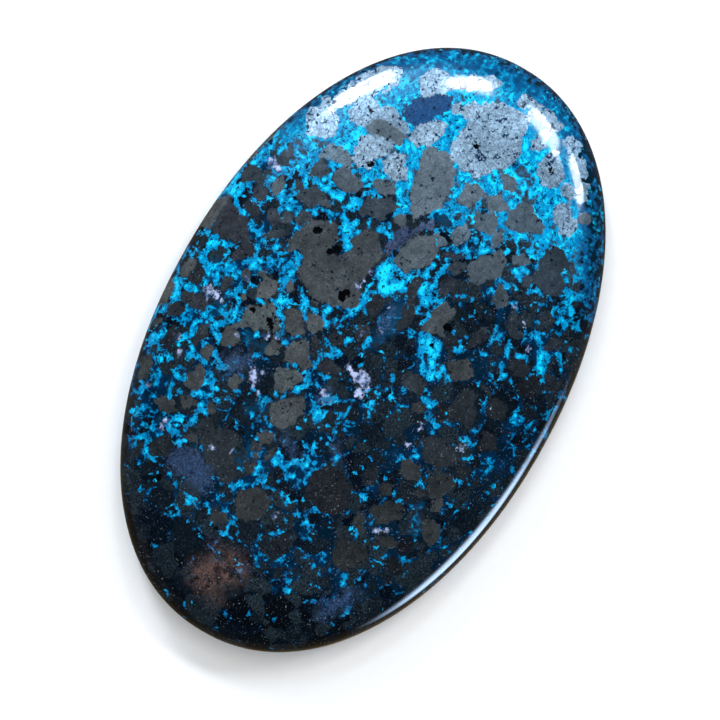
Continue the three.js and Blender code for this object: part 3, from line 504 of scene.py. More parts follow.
# Milky quartz, in the same form as the veins
QUARTZ = (
    (0.5, (-1.65, 8.9)), (0.3, (-1.9, 9.2), (-1.5, 9.5)), (0.3, (-1.75, 8.35)),
    (0.3, (-2.3, 5.1), (-2.25, 5.4)), (0.3, (-1.95, 4.45)), (0.4, (-4.9, 4.4), (-4.3, 4.9)),
    (0.35, (-4.2, 5.1)), (0.4, (-4.2, 4.3)), (0.25, (-4.75, 9.7)), (0.2, (0.05, 7.7)), (0.2, (-3.0, 6.65)),
    (0.35, (-1.9, -0.5), (-1.6, -0.1)), (0.85, (-1.8, -1.05), (-1.6, -0.9)), (0.6, (-2.45, -1.1)),
    (0.3, (-1.35, -1.15)), (0.3, (-1.3, 0.2)), (0.2, (0.6, 0.4)), (0.2, (1.3, -0.4)),
    (0.2, (2.8, 2.0), (3.2, 1.85)), (0.2, (3.9, 1.7)), (0.2, (2.7, -0.15)), (0.2, (6.3, -6.55)),
    (0.28, (5.65, -7.5)), (0.2, (7.45, -5.1)), (0.25, (4.5, -8.3)), (0.25, (-2.45, -5.2)),
    (0.25, (-3.65, -4.95)), (0.35, (-2.4, -7.8)), (0.2, (0.5, -8.1)), (0.25, (-9.7, 7.75), (-9.3, 7.75)),
    (0.3, (-9.4, 4.8)), (0.25, (-8.0, 9.8)), (0.3, (-5.6, 9.0)), (0.25, (-11.0, -0.25), (-10.8, -0.2)),
    (0.2, (-9.2, 3.8), (-8.9, 3.6)), (0.25, (-5.4, 3.9)), (0.3, (-8.9, -5.8)), (0.3, (-8.6, -6.3)),
    (0.5, (6.6, 9.35), (6.65, 9.85)), (0.3, (-3.5, 0.6), (-3.3, 0.8)), (0.3, (-3.8, 0.3)),
)

# Violet-blue stains in the rock, in the same form as the veins
STAINS = (
    (1.6, (-10.9, 5.9), (-10.7, 5.0), (-11.2, 4.4)), (0.5, (-7.3, 0.3), (-6.85, 1.4)),
    (1.2, (-4.7, 6.2), (-4.3, 5.7)), (0.9, (-4.6, 4.6)), (0.9, (-3.6, 0.5)),
    (0.3, (-6.5, -1.9), (-5.9, -1.45)), (0.5, (2.6, -0.4), (1.4, -0.5)),
    (0.9, (-14.6, -5.4), (-12.9, -6.4)),
)

# Rust-brown haze in the rock, in the same form
RUST = ((2.6, (-15.9, 1.4), (-14.9, 0.5)), (1.4, (-16.8, 0.4)), (1.2, (-14.2, 1.6)))

# Pools of thin teal over dark rock, in the same form as the veins
POOLS = (
    (0.7, (-2.9, 6.0), (-2.85, 5.0)), (0.9, (-0.8, 9.7), (0.0, 9.7)), (0.7, (-2.4, 8.5), (-2.2, 8.2)),
    (0.6, (-5.2, 10.7)), (0.8, (-6.5, 3.8), (-6.1, 3.5)), (0.5, (-9.3, 2.8), (-8.2, 2.7)),
    (0.6, (8.0, -2.7)), (0.9, (8.6, -0.5), (9.2, -0.2)), (0.6, (7.1, -5.0), (7.2, -5.5)),
    (0.6, (-6.4, -7.3)), (0.5, (-7.2, -7.5)), (0.5, (-7.9, -7.7)), (0.6, (10.3, 9.7)),
    (0.9, (0.8, -0.4), (1.5, -0.8), (3.1, -0.7)), (1.0, (12.2, 8.8), (14.6, 7.6), (16.2, 6.0), (17.3, 4.0)),
    (0.4, (-9.9, 5.5)), (0.9, (17.6, 1.0), (17.5, -1.5), (17.0, -3.2)), (0.4, (-9.3, 8.2)),
    (0.7, (9.6, 7.0), (10.4, 6.9)), (0.5, (-8.1, 10.75)),
)

# Holes that the polishing left open: middle, radius and depth
PITS = (
    ((4.45, 5.55), 0.27, 0.03), ((1.8, 2.5), 0.28, 0.03), ((2.1, 2.35), 0.24, 0.03),
    ((4.1, 4.15), 0.26, 0.03), ((3.8, 4.4), 0.18, 0.02), ((3.3, -3.75), 0.2, 0.02),
    ((-1.3, 6.6), 0.15, 0.02), ((-1.7, 5.15), 0.17, 0.02), ((-1.4, 5.4), 0.15, 0.02),
    ((1.85, -3.45), 0.15, 0.02), ((9.3, 4.8), 0.18, 0.02), ((13.3, 0.1), 0.16, 0.02),
    ((12.0, 6.4), 0.16, 0.02), ((14.2, -4.4), 0.16, 0.02), ((-12.4, 6.5), 0.16, 0.02),
)

# How ragged the drawn edges are: size of the wander and how far it shifts an edge. Clasts and veins
# wander by different levels of one noise, whose fixed seed makes every run draw the same stone.
WANDER = ((0.9, 0.15), (0.28, 0.07))
WANDER_SEED = 1
CLAST_LEVEL = 0.0
VEIN_LEVEL = 7.3
REACH = 1.2  # how far from a marking its distance is still worked out

# No two clasts side by side are quite the same grey. They are darker towards the lower side and the left
# end, and carry a painted sheen of pale blue haze towards the right end. Each span is where that starts and
# where it is full.
LEAST_TONE = 0.75
TONE_RANGE = 0.5
GOLDEN_SHARE = 0.618
LOW_SHADE = 0.45
LOW_SPAN = (0, -6)
LEFT_SHADE = 0.4
LEFT_SPAN = (-3, -9)
PAINTED_SHEEN_SPAN = (1, 12)

# Turquoise, clasts and rock run down through the stone, so the wall shows them a little turned
TURN_PER_MM = math.radians(1.3)


# The dome: arc length along its section as a share of the whole, from the crown's middle to the wall,
# with the half width and the height reached there
def dome_section():
    rim = WIDTH / 2 - WALL_LEAN
    shoulder = (rim - WALL_LEAN, WALL_TOP + SHOULDER_RISE)
    ends = ((rim, WALL_TOP), shoulder, (CROWN_REACH, THICKNESS), (0, THICKNESS))
    t = np.linspace(1, 0, SECTION_STEPS)
    weights = ((1 - t) ** 3, 3 * t * (1 - t) ** 2, 3 * t ** 2 * (1 - t), t ** 3)
    across = sum(weight * end[0] for weight, end in zip(weights, ends))
    height = sum(weight * end[1] for weight, end in zip(weights, ends))
    steps = np.hypot(np.diff(across), np.diff(height))
    share = np.concatenate(([0], np.cumsum(steps))) / steps.sum()
    return share, across, height


# A cosine or sine bent so that a ring follows the oval instead of a circle
def bent_to_oval(value):
    return np.sign(value) * np.abs(value) ** (2 / OVAL_POWER)


# Places of a square grid's vertices once the square is rounded off and laid over the dome
def laid_over_dome(grid):
    x, y = grid[:, 0], grid[:, 1]
    round_x = x * np.sqrt(1 - y ** 2 / 2)
    round_y = y * np.sqrt(1 - x ** 2 / 2)
    radius = np.maximum(np.hypot(round_x, round_y), 1e-9)
    share, across, height = dome_section()
    half_width = np.interp(radius, share, across)
    stretch = (LENGTH / 2 - WALL_LEAN) / (WIDTH / 2 - WALL_LEAN)
    return np.column_stack((
        half_width * stretch * bent_to_oval(round_x / radius),
        half_width * bent_to_oval(round_y / radius),
        np.interp(radius, share, height),
    ))


def read_places(mesh):
    places = np.empty(len(mesh.vertices) * 3)
    mesh.vertices.foreach_get("co", places)
    return places.reshape(-1, 3) / MM


def write_places(mesh, places):
    mesh.vertices.foreach_set("co", (places * MM).ravel())
    mesh.update()


# Rings below the dome, from the wall's top to the middle of the back: half width and height of each
def rings_below_dome():
    half = WIDTH / 2
    rings = []
    for row in range(1, WALL_ROWS + 1):
        share = row / WALL_ROWS
        rings.append((half - WALL_LEAN * (1 - share), WALL_TOP + (BACK_BEVEL - WALL_TOP) * share))
    rings.append((half - BACK_BEVEL / 2, BACK_BEVEL / 2))
    back = half - BACK_BEVEL
    for row in range(BACK_ROWS):
        rings.append((back * (1 - row / BACK_ROWS), 0))
    return rings


# Pulls the dome's edge down into the wall, then round the bevel and in over the flat back
def close_below_dome():
    long_extra = (LENGTH - WIDTH) / 2
    half_width = WIDTH / 2 - WALL_LEAN
    half_length = half_width + long_extra
    level = WALL_TOP
    bpy.ops.object.mode_set(mode="EDIT")
    bpy.ops.mesh.select_mode(type="EDGE")
    bpy.ops.mesh.select_all(action="SELECT")
    bpy.ops.mesh.region_to_loop()
    for ring_width, ring_level in rings_below_dome():
        ring_length = ring_width + long_extra
        drop = (ring_level - level) * MM
        bpy.ops.mesh.extrude_region_move(TRANSFORM_OT_translate={"value": (0, 0, drop)})
        scale = (ring_length / half_length, ring_width / half_width, 1)
        bpy.ops.transform.resize(value=scale, center_override=(0, 0, 0))
        half_width, half_length, level = ring_width, ring_length, ring_level
    bpy.ops.mesh.edge_face_add()
    bpy.ops.mesh.select_all(action="SELECT")
    bpy.ops.mesh.normals_make_consistent(inside=False)
    bpy.ops.object.mode_set(mode="OBJECT")


# Distance of each point from the stretch between two ends
def distance_to_stretch(points, start, end):
    start = np.array(start)
    along = np.array(end) - start
    length = max(along @ along, 1e-12)
    share = np.clip((points - start) @ along / length, 0, 1)
    return np.hypot(*(points - start - share[:, None] * along).T)


# Which points lie within reach of some ends
def near(points, ends, reach):
    ends = np.array(ends)
    inside = (points > ends.min(axis=0) - reach) & (points < ends.max(axis=0) + reach)
    return np.nonzero(inside.all(axis=1))[0]


# How deep each point lies inside the nearest of a list of veins, and below zero outside them
def depth_in_veins(points, veins):
    depth = np.full(len(points), -REACH)
    for width, *route in veins:
        for start, end in zip(route, route[1:] or route):
            which = near(points, (start, end), width / 2 + REACH)
            inside = width / 2 - distance_to_stretch(points[which], start, end)
            depth[which] = np.maximum(depth[which], inside)
    return depth


# Whether each point is inside an outline
def inside_outline(points, outline):
    inside = np.zeros(len(points), bool)
    x, y = points.T
    for (x0, y0), (x1, y1) in zip(outline, outline[1:] + outline[:1]):
        crosses = (y0 > y) != (y1 > y)
        with np.errstate(divide="ignore", invalid="ignore"):
            inside ^= crosses & (x < x0 + (y - y0) * (x1 - x0) / (y1 - y0))
    return inside


# How deep each point lies in the nearest clast, with that clast's colour, finish and painted sheen
def depth_in_clasts(points):
    depth = np.full(len(points), -REACH)
    colour = np.tile(linear(CHARCOAL[0]), (len(points), 1))
    finish_and_sheen = np.zeros((len(points), 3))
    for index, ((hue, metal, grain, painted_sheen), *outline) in enumerate(CLASTS):
        which = near(points, outline, REACH)
        edges = zip(outline, outline[1:] + outline[:1])
        away = np.min([distance_to_stretch(points[which], start, end) for start, end in edges], axis=0)
        inside = np.where(inside_outline(points[which], outline), away, -away)
        nearer = inside > depth[which]
        which = which[nearer]
        depth[which] = inside[nearer]
        x, y = np.mean(outline, axis=0)
        shade = (1 - LOW_SHADE * smooth_step(y, *LOW_SPAN)) * (1 - LEFT_SHADE * smooth_step(x, *LEFT_SPAN))
        tone = (LEAST_TONE + TONE_RANGE * (index * GOLDEN_SHARE % 1)) * shade
        colour[which] = np.array(linear(hue)) * (tone, tone, tone, 1)
        finish_and_sheen[which] = (metal, grain, painted_sheen * smooth_step(x, *PAINTED_SHEEN_SPAN))
    return depth, colour, finish_and_sheen


# Moves points about by smooth noise, so that drawn outlines lose their straight edges
def wandering(points, level):
    noise.seed_set(WANDER_SEED)
    moved = points.copy()
    for size, shift in WANDER:
        for index, (x, y) in enumerate(points):
            push = noise.noise_vector((x / size, y / size, level))
            moved[index, 0] += shift * push[0]
            moved[index, 1] += shift * push[1]
    return moved


# The place on the crown's drawing that a vertex takes its markings from
def place_on_drawing(places):
    turn = TURN_PER_MM * np.maximum(WALL_TOP - places[:, 2], 0)
    x, y = places[:, 0], places[:, 1]
    return np.column_stack((x * np.cos(turn) - y * np.sin(turn), x * np.sin(turn) + y * np.cos(turn)))


# Sinks the pits into the crown, and returns how far inside the edge of a pit each vertex lies
def sink_pits(places, points):
    on_dome = places[:, 2] > WALL_TOP
    depth = np.full(len(places), -REACH)
    for middle, radius, sink in PITS:
        away = np.hypot(*(points - np.array(middle)).T)
        depth = np.maximum(depth, radius - away)
        bowl = np.clip(1 - (away / radius) ** 2, 0, 1)
        places[:, 2] -= np.where(on_dome, sink * bowl ** 1.5, 0)
    return depth


def smooth_step(values, start, end):
    share = np.clip((values - start) / (end - start), 0, 1)
    return share * share * (3 - 2 * share)


def store(mesh, name, kind, field, values):
    layer = mesh.attributes.new(name, kind, "POINT")
    layer.data.foreach_set(field, np.ascontiguousarray(values, dtype=np.float32).ravel())


# How much of the ground between the clasts is turquoise: most at the right end, little at the left
def share_of_turquoise(x, y):
    right = smooth_step(x, 5, 13)
    upper = smooth_step(y, 4, 10) * smooth_step(x, -12, -4)
    lower = smooth_step(-y, 5, 9) * smooth_step(x, -2, 4)
    middle = smooth_step(y, -5, 0) * smooth_step(x, -14, -9)
    return 0.08 * smooth_step(x, -17, -12) + 0.12 * middle + 0.66 * right + 0.13 * upper + 0.06 * lower


# Painted shade on the turquoise towards the rim of the right end: how far it darkens, to deep blue at 1 and
# to black at 2
def painted_rim_shade(x, y, height):
    deep = smooth_step(-height, -4.4, -3.7)
    black = smooth_step(-height, -3.7, -2.8) + smooth_step(-height, -4.3, -3.7) * smooth_step(-y, 4, 7)
    return smooth_step(x, 6, 11) * np.minimum(deep + black, 2)


# Works out every marking at every vertex and keeps it on the mesh for the material to read
def draw_markings(mesh):
    places = read_places(mesh)
    points = place_on_drawing(places)
    ragged = wandering(points, CLAST_LEVEL)
    frayed = wandering(points, VEIN_LEVEL)
    clast, colour, finish_and_sheen = depth_in_clasts(ragged)
    pit = sink_pits(places, ragged)
    store(mesh, "vein", "FLOAT", "value", depth_in_veins(frayed, VEINS))
    store(mesh, "quartz", "FLOAT", "value", depth_in_veins(frayed, QUARTZ))
    store(mesh, "stain", "FLOAT", "value", depth_in_veins(ragged, STAINS))
    store(mesh, "rust", "FLOAT", "value", depth_in_veins(ragged, RUST))
    store(mesh, "pool", "FLOAT", "value", depth_in_veins(ragged, POOLS))
    store(mesh, "pit", "FLOAT", "value", pit)
    store(mesh, "clast", "FLOAT", "value", clast)
    store(mesh, "clast_colour", "FLOAT_COLOR", "color", colour)
    store(mesh, "clast_finish_and_sheen", "FLOAT_VECTOR", "vector", finish_and_sheen)
    store(mesh, "turquoise_share", "FLOAT", "value", share_of_turquoise(*points.T))
    store(mesh, "painted_rim_shade", "FLOAT", "value", painted_rim_shade(*points.T, places[:, 2]))
    store(mesh, "drawn", "FLOAT", "value", smooth_step(places[:, 2], BACK_BEVEL, 2 * BACK_BEVEL))
    write_places(mesh, places)


def model_stone():
    bpy.ops.object.select_all(action="DESELECT")
    bpy.ops.mesh.primitive_grid_add(x_subdivisions=GRID_ALONG, y_subdivisions=GRID_ACROSS, size=2)
    stone = bpy.context.object
    stone.name = "polished_stone"
    write_places(stone.data, laid_over_dome(read_places(stone.data) * MM))
    close_below_dome()
    draw_markings(stone.data)
    bpy.ops.object.shade_smooth_by_angle(angle=SHARP_ANGLE)
    return stone


# Colour from an sRGB hex value to the linear red, green, blue and alpha that nodes take
def linear(hex_value):
    parts = [int(hex_value[start:start + 2], 16) / 255 for start in (1, 3, 5)]
    return [part / 12.92 if part <= 0.04045 else ((part + 0.055) / 1.055) ** 2.4 for part in parts] + [1.0]


# Adds a node, sets its options, feeds its inputs in order or by name, and returns its first output
def add(tree, kind, *feeds, named=None, **settings):
    node = tree.nodes.new(kind)
    for name, value in settings.items():
        setattr(node, name, value)
    sockets = [socket for socket in node.inputs if socket.enabled]
    pairs = list(zip(sockets, feeds))
    pairs += [(node.inputs[name], feed) for name, feed in (named or {}).items()]
    for socket, feed in pairs:
        if isinstance(feed, bpy.types.NodeSocket):
            tree.links.new(feed, socket)
        else:
            socket.default_value = feed
    return next((socket for socket in node.outputs if socket.enabled), node)


# Texture scale for a pattern whose features are this many millimetres across
def per_mm(size):
    return 1 / (size * MM)


# Kinds of node that the materials use most, and the options that go with them. A range is fed a value,
# the two ends that it runs between, and what it gives at each. A noise is fed a place, a scale, its
# detail and its roughness.
MATH = "ShaderNodeMath"
MIX = "ShaderNodeMix"
RANGE = "ShaderNodeMapRange"
NOISE = "ShaderNodeTexNoise"
CELLS = "ShaderNodeTexVoronoi"
MARK = "ShaderNodeAttribute"
COLOURS = {"data_type": "RGBA"}
VALUES = {"data_type": "FLOAT"}
SMOOTH = {"interpolation_type": "SMOOTHSTEP"}
PRODUCT = {"operation": "MULTIPLY"}


# Sizes of the rock's patterns, in millimetres
BROAD_PATCH = 2.6
COARSE_FRAY = 0.4
FINE_GRIT = 0.12
BEND = 0.4
DARK_FLECK = 0.2
TURQUOISE_CLOUD = 0.7
TURQUOISE_SPECK = 0.45
CLAST_GRAIN = 0.4
CLAST_PITTING = 0.34
DUST_SPECK = 0.1


# What all the rock's layers share: places, noises from broad to fine, and the painted shade of the rim,
# deep blue going to black
def rock_grounds(tree):
    place = add(tree, "ShaderNodeTexCoord").node.outputs["Object"]
    coarse = add(tree, NOISE, place, per_mm(COARSE_FRAY), 3.0, 0.55).node.outputs["Color"]
    split = add(tree, "ShaderNodeSeparateColor", coarse).node
    shift = (BEND * MM,) * 3
    spotty = add(tree, NOISE, place, per_mm(DARK_FLECK), 3.0, 0.6)
    # painted shade at the rim of the right end, deep blue going to black at the outermost edge
    rim = add(tree, MARK, attribute_name="painted_rim_shade").node.outputs["Fac"]
    uneven = add(tree, RANGE, split.outputs["Red"], 0.35, 0.65, 0.5, 1.4)
    rim = add(tree, MATH, rim, uneven, **PRODUCT)
    outermost = add(tree, RANGE, rim, 1.1, 1.8, 0.0, 1.0)
    return {
        "rim": add(tree, MATH, rim, 1.0, operation="MINIMUM"),
        "painted_rim_shade_blue": add(tree, MIX, outermost, linear("#0A4A76"), linear("#021C2A"), **COLOURS),
        "place": place,
        "bent": add(tree, "ShaderNodeVectorMath", coarse, shift, place, operation="MULTIPLY_ADD"),
        "fray": [split.outputs[name] for name in ("Red", "Green", "Blue")],
        "fine": add(tree, NOISE, place, per_mm(FINE_GRIT), 3.0, 0.6),
        "broad": add(tree, NOISE, place, per_mm(BROAD_PATCH), 3.0, 0.55),
        "share": add(tree, MARK, attribute_name="turquoise_share").node.outputs["Fac"],
        "drawn": add(tree, MARK, attribute_name="drawn").node.outputs["Fac"],
        "flecks": add(tree, RANGE, spotty, 0.57, 0.63, 0.0, 0.92, **SMOOTH),
    }


# How far coarse and fine noise fray the edge of each marking, in millimetres, and which of the coarse
# noise's three channels does so
FRAYING = {
    "vein": (0.9, 0.45, 0),
    "clast": (0.55, 0.35, 1),
    "pool": (1.2, 0.4, 2),
    "stain": (1.6, 1.0, 0),
    "rust": (1.8, 1.2, 1),
    "quartz": (0.9, 0.6, 1),
    "pit": (0.5, 0.3, 2),
}
UNDRAWN = -1.0  # depth over the back, where a marking is missing


# Depth inside a drawn marking in millimetres, with its edge frayed. Over the back, where nothing is drawn,
# the depth is the one given.
def frayed_depth(tree, ground, name, undrawn):
    coarse, fine, channel = FRAYING[name]
    drawn = add(tree, MARK, attribute_name=name).node.outputs["Fac"]
    depth = add(tree, MIX, ground["drawn"], undrawn, drawn, **VALUES)
    depth = add(tree, MATH, ground["fray"][channel], coarse, depth, operation="MULTIPLY_ADD")
    depth = add(tree, MATH, ground["fine"], fine, depth, operation="MULTIPLY_ADD")
    return add(tree, MATH, depth, (coarse + fine) / 2, operation="SUBTRACT")


# Near-black silica rock: blue-black, and a more neutral black at the left end, where there is no turquoise
def dark_rock(tree, ground):
    tinted = add(tree, RANGE, ground["share"], 0.03, 0.08, 0.0, 1.0)
    palest = add(tree, MIX, tinted, linear("#060A0E"), linear("#032238"), **COLOURS)
    return add(tree, MIX, ground["broad"], linear("#01060C"), palest, **COLOURS)


# Crumbs of blue-black and grey ore that fill in between the drawn clasts, given their size in millimetres
# and the share of them that is left out: colour, share shown, and how near the seams between them are
def ore_crumbs(tree, ground, size, left_out):
    edge = add(tree, CELLS, ground["bent"], per_mm(size), feature="DISTANCE_TO_EDGE")
    crumb = add(tree, CELLS, ground["bent"], per_mm(size)).node.outputs["Color"]
    split = add(tree, "ShaderNodeSeparateColor", crumb).node
    depth = add(tree, MATH, edge, size, 0.14, operation="MULTIPLY_ADD")
    depth = add(tree, MATH, ground["fray"][0], -0.4, depth, operation="MULTIPLY_ADD")
    frayed = add(tree, MATH, ground["fine"], 0.35, depth, operation="MULTIPLY_ADD")
    solid = add(tree, RANGE, frayed, 0.15, 0.21, 0.0, 1.0, **SMOOTH)
    chosen = add(tree, RANGE, split.outputs["Red"], left_out, left_out + 0.04, 0.0, 1.0)
    inland = add(tree, RANGE, ground["rim"], 0.3, 0.8, 1.0, 0.0)
    scarcer = add(tree, RANGE, ground["share"], 0.4, 0.75, 1.0, 0.4)
    inland = add(tree, MATH, inland, scarcer, **PRODUCT)
    chosen = add(tree, MATH, chosen, inland, **PRODUCT)
    shown = add(tree, MATH, solid, chosen, **PRODUCT)
    seam = add(tree, RANGE, depth, -0.06, 0.1, 1.0, 0.0, **SMOOTH)
    colour = add(tree, MIX, split.outputs["Green"], linear("#051220"), linear("#2C3A42"), **COLOURS)
    # painted sheen: the crumbs turn pale blue-grey where turquoise is most, towards the right end
    painted_crumb_sheen = add(tree, RANGE, ground["share"], 0.4, 0.75, 0.0, 0.8)
    colour = add(tree, MIX, painted_crumb_sheen, colour, linear("#5E7480"), **COLOURS)
    grit = add(tree, RANGE, ground["fine"], 0.36, 0.62, 1.25, 0.35)
    return add(tree, MIX, 1.0, colour, grit, blend_type="MULTIPLY", **COLOURS), shown, seam


# Turquoise: deep blue where it thins out, bright blue inside, pale in the thickest places, and darker
# towards the rim as painted shade
def turquoise(tree, ground, depth, full_depth):
    body = add(tree, RANGE, depth, -0.04, full_depth, 0.0, 1.0, **SMOOTH)
    pale_patch = add(tree, RANGE, ground["fray"][2], 0.4, 0.55, 0.0, 1.0, **SMOOTH)
    heart = add(tree, RANGE, depth, 0.05, 0.22, 0.1, 1.0, **SMOOTH)
    pale_share = add(tree, MATH, pale_patch, heart, **PRODUCT)
    thick = add(tree, RANGE, depth, 0.22, 0.42, 0.0, 1.0, **SMOOTH)
    pale_share = add(tree, MATH, pale_share, thick, operation="MAXIMUM")
    bright = add(tree, MIX, pale_share, linear("#0380B4"), linear("#10CCF6"), **COLOURS)
    flecked = add(tree, MIX, ground["flecks"], bright, linear("#01182C"), **COLOURS)
    filled = add(tree, MIX, body, linear("#02406E"), flecked, **COLOURS)
    # painted shade: the turquoise is darkened towards the rim
    painted_rim_shade_share = add(tree, RANGE, ground["fray"][1], 0.55, 0.65, 1.0, 0.35, **SMOOTH)
    painted_rim_shade_share = add(tree, MATH, ground["rim"], painted_rim_shade_share, **PRODUCT)
    return add(tree, MIX, painted_rim_shade_share, filled, ground["painted_rim_shade_blue"], **COLOURS)


# Depth of the turquoise that stains the ground between the clasts: more of it along the crumbs' seams,
# close to the drawn veins and near the rim, where it takes the painted shade
def ground_turquoise(tree, ground, seam, vein):
    cloud = add(tree, NOISE, ground["bent"], per_mm(TURQUOISE_CLOUD), 3.0, 0.6)
    raised = add(tree, MATH, ground["share"], 0.34, cloud, operation="MULTIPLY_ADD")
    raised = add(tree, MATH, seam, 0.14, raised, operation="MULTIPLY_ADD")
    raised = add(tree, MATH, ground["rim"], 0.05, raised, operation="MULTIPLY_ADD")
    close = add(tree, RANGE, vein, -0.9, 0.0, 0.0, 0.07)
    raised = add(tree, MATH, raised, close, operation="ADD")
    speck = add(tree, CELLS, ground["place"], per_mm(TURQUOISE_SPECK)).node
    split = add(tree, "ShaderNodeSeparateColor", speck.outputs["Color"]).node
    dot = add(tree, RANGE, speck.outputs["Distance"], 0.1, 0.34, 0.16, 0.0)
    chosen = add(tree, RANGE, split.outputs["Green"], 0.55, 0.75, 0.0, 1.0)
    raised = add(tree, MATH, dot, chosen, raised, operation="MULTIPLY_ADD")
    return add(tree, MATH, raised, 0.77, operation="SUBTRACT")


# Clasts of metallic ore: cool grey, some of them an aggregate of grains with dark blue seams, under a
# painted sheen of pale blue haze at the right end. Returns the colour and how metallic it is.
def clast_surface(tree, ground):
    colour = add(tree, MARK, attribute_name="clast_colour").node.outputs["Color"]
    finish_and_sheen = add(tree, MARK, attribute_name="clast_finish_and_sheen").node.outputs["Vector"]
    split = add(tree, "ShaderNodeSeparateXYZ", finish_and_sheen).node
    metal, grain, painted_sheen = split.outputs["X"], split.outputs["Y"], split.outputs["Z"]
    seam = add(tree, CELLS, ground["bent"], per_mm(CLAST_GRAIN), feature="DISTANCE_TO_EDGE")
    seam = add(tree, RANGE, seam, 0.02, 0.2, 1.0, 0.0, **SMOOTH)
    seam = add(tree, MATH, seam, grain, **PRODUCT)
    pitting = add(tree, NOISE, ground["place"], per_mm(CLAST_PITTING), 5.0, 0.72)
    eaten = add(tree, MATH, grain, 0.07, pitting, operation="MULTIPLY_ADD")
    eaten = add(tree, RANGE, eaten, 0.59, 0.65, 0.0, 1.0, **SMOOTH)
    holes = add(tree, MATH, eaten, add(tree, MATH, seam, 0.55, **PRODUCT), operation="MAXIMUM")
    # painted sheen: the clasts are mixed towards pale blue, as the panels' reflection would make them
    painted_sheen_share = add(tree, MATH, painted_sheen, 0.65, **PRODUCT)
    colour = add(tree, MIX, painted_sheen_share, colour, linear("#A0CCEE"), **COLOURS)
    tone = add(tree, RANGE, ground["broad"], 0.3, 0.7, 0.65, 1.25)
    toned = add(tree, MIX, 1.0, colour, tone, blend_type="MULTIPLY", **COLOURS)
    cloudy = add(tree, RANGE, ground["fray"][0], 0.3, 0.7, 0.75, 1.25)
    toned = add(tree, MIX, 1.0, toned, cloudy, blend_type="MULTIPLY", **COLOURS)
    rough = add(tree, RANGE, grain, 0.0, 0.6, 0.78, 0.55)
    mottle = add(tree, RANGE, ground["fine"], 0.34, 0.66, 1.25, rough)
    toned = add(tree, MIX, 1.0, toned, mottle, blend_type="MULTIPLY", **COLOURS)
    whole = add(tree, MATH, 1.0, holes, operation="SUBTRACT")
    metal = add(tree, MATH, metal, whole, **PRODUCT)
    # the holes turn from near-black to deep blue under the painted sheen
    hollow = add(tree, MIX, painted_sheen_share, linear("#04101C"), linear("#0C2E50"), **COLOURS)
    return add(tree, MIX, holes, toned, hollow, **COLOURS), metal


# Pale mineral dust, as specks that show most where there is little turquoise: colour and share shown
def dust(tree, ground):
    speck = add(tree, NOISE, ground["place"], per_mm(DUST_SPECK), 2.0, 0.5)
    dot = add(tree, RANGE, speck, 0.63, 0.71, 0.0, 0.65, **SMOOTH)
    cluster = add(tree, RANGE, ground["fray"][1], 0.4, 0.6, 0.15, 1.0)
    dusty = add(tree, RANGE, ground["share"], 0.12, 0.6, 1.0, 0.2)
    shown = add(tree, MATH, cluster, dusty, **PRODUCT)
    tint = add(tree, RANGE, ground["fray"][0], 0.45, 0.55, 0.0, 1.0)
    colour = add(tree, MIX, tint, linear("#4A5496"), linear("#8C98A4"), **COLOURS)
    return colour, add(tree, MATH, dot, shown, **PRODUCT)


# The clasts are this much larger than they are drawn, in millimetres, where there is least and where
# there is most turquoise
CLAST_GROWTH = (0.05, 0.13)

# The veins are this much slimmer than they are drawn, in the same two places
VEIN_TRIM = (-0.11, -0.015)

# Pattern of the back, where nothing is drawn: cells of clast with veins along their edges
BACK_CELL = 3.2
BACK_CLAST_INSET = 0.45
BACK_VEIN_REACH = 0.22


# Depths in all the drawn markings. Over the back, cells stand in for the clasts and the veins.
def marking_depths(tree, ground):
    cell_edge = add(tree, CELLS, ground["bent"], per_mm(BACK_CELL), feature="DISTANCE_TO_EDGE")
    undrawn = dict.fromkeys(FRAYING, UNDRAWN)
    undrawn["clast"] = add(tree, MATH, cell_edge, BACK_CELL, -BACK_CLAST_INSET, operation="MULTIPLY_ADD")
    undrawn["vein"] = add(tree, MATH, cell_edge, -BACK_CELL, BACK_VEIN_REACH, operation="MULTIPLY_ADD")
    depth = {name: frayed_depth(tree, ground, name, undrawn[name]) for name in FRAYING}
    trim = add(tree, RANGE, ground["share"], 0.1, 0.2, *VEIN_TRIM)
    depth["vein"] = add(tree, MATH, depth["vein"], trim, operation="ADD")
    growth = add(tree, RANGE, ground["share"], 0.3, 0.7, *CLAST_GROWTH)
    depth["clast"] = add(tree, MATH, depth["clast"], growth, operation="ADD")
    return depth


# Crumbs of two sizes: the size in millimetres and the share of them that is left out
BIG_CRUMBS = (1.7, 0.3)
SMALL_CRUMBS = (0.8, 0.55)


# Both sizes of crumb together: colour, share shown, and how near the seams are
def all_crumbs(tree, ground):
    colour_big, share_big, seam_big = ore_crumbs(tree, ground, *BIG_CRUMBS)
    colour_small, share_small, seam_small = ore_crumbs(tree, ground, *SMALL_CRUMBS)
    colour = add(tree, MIX, share_small, colour_big, colour_small, **COLOURS)
    share = add(tree, MATH, share_big, share_small, operation="MAXIMUM")
    seam = add(tree, MATH, seam_big, seam_small, operation="MAXIMUM")
    return colour, share, seam


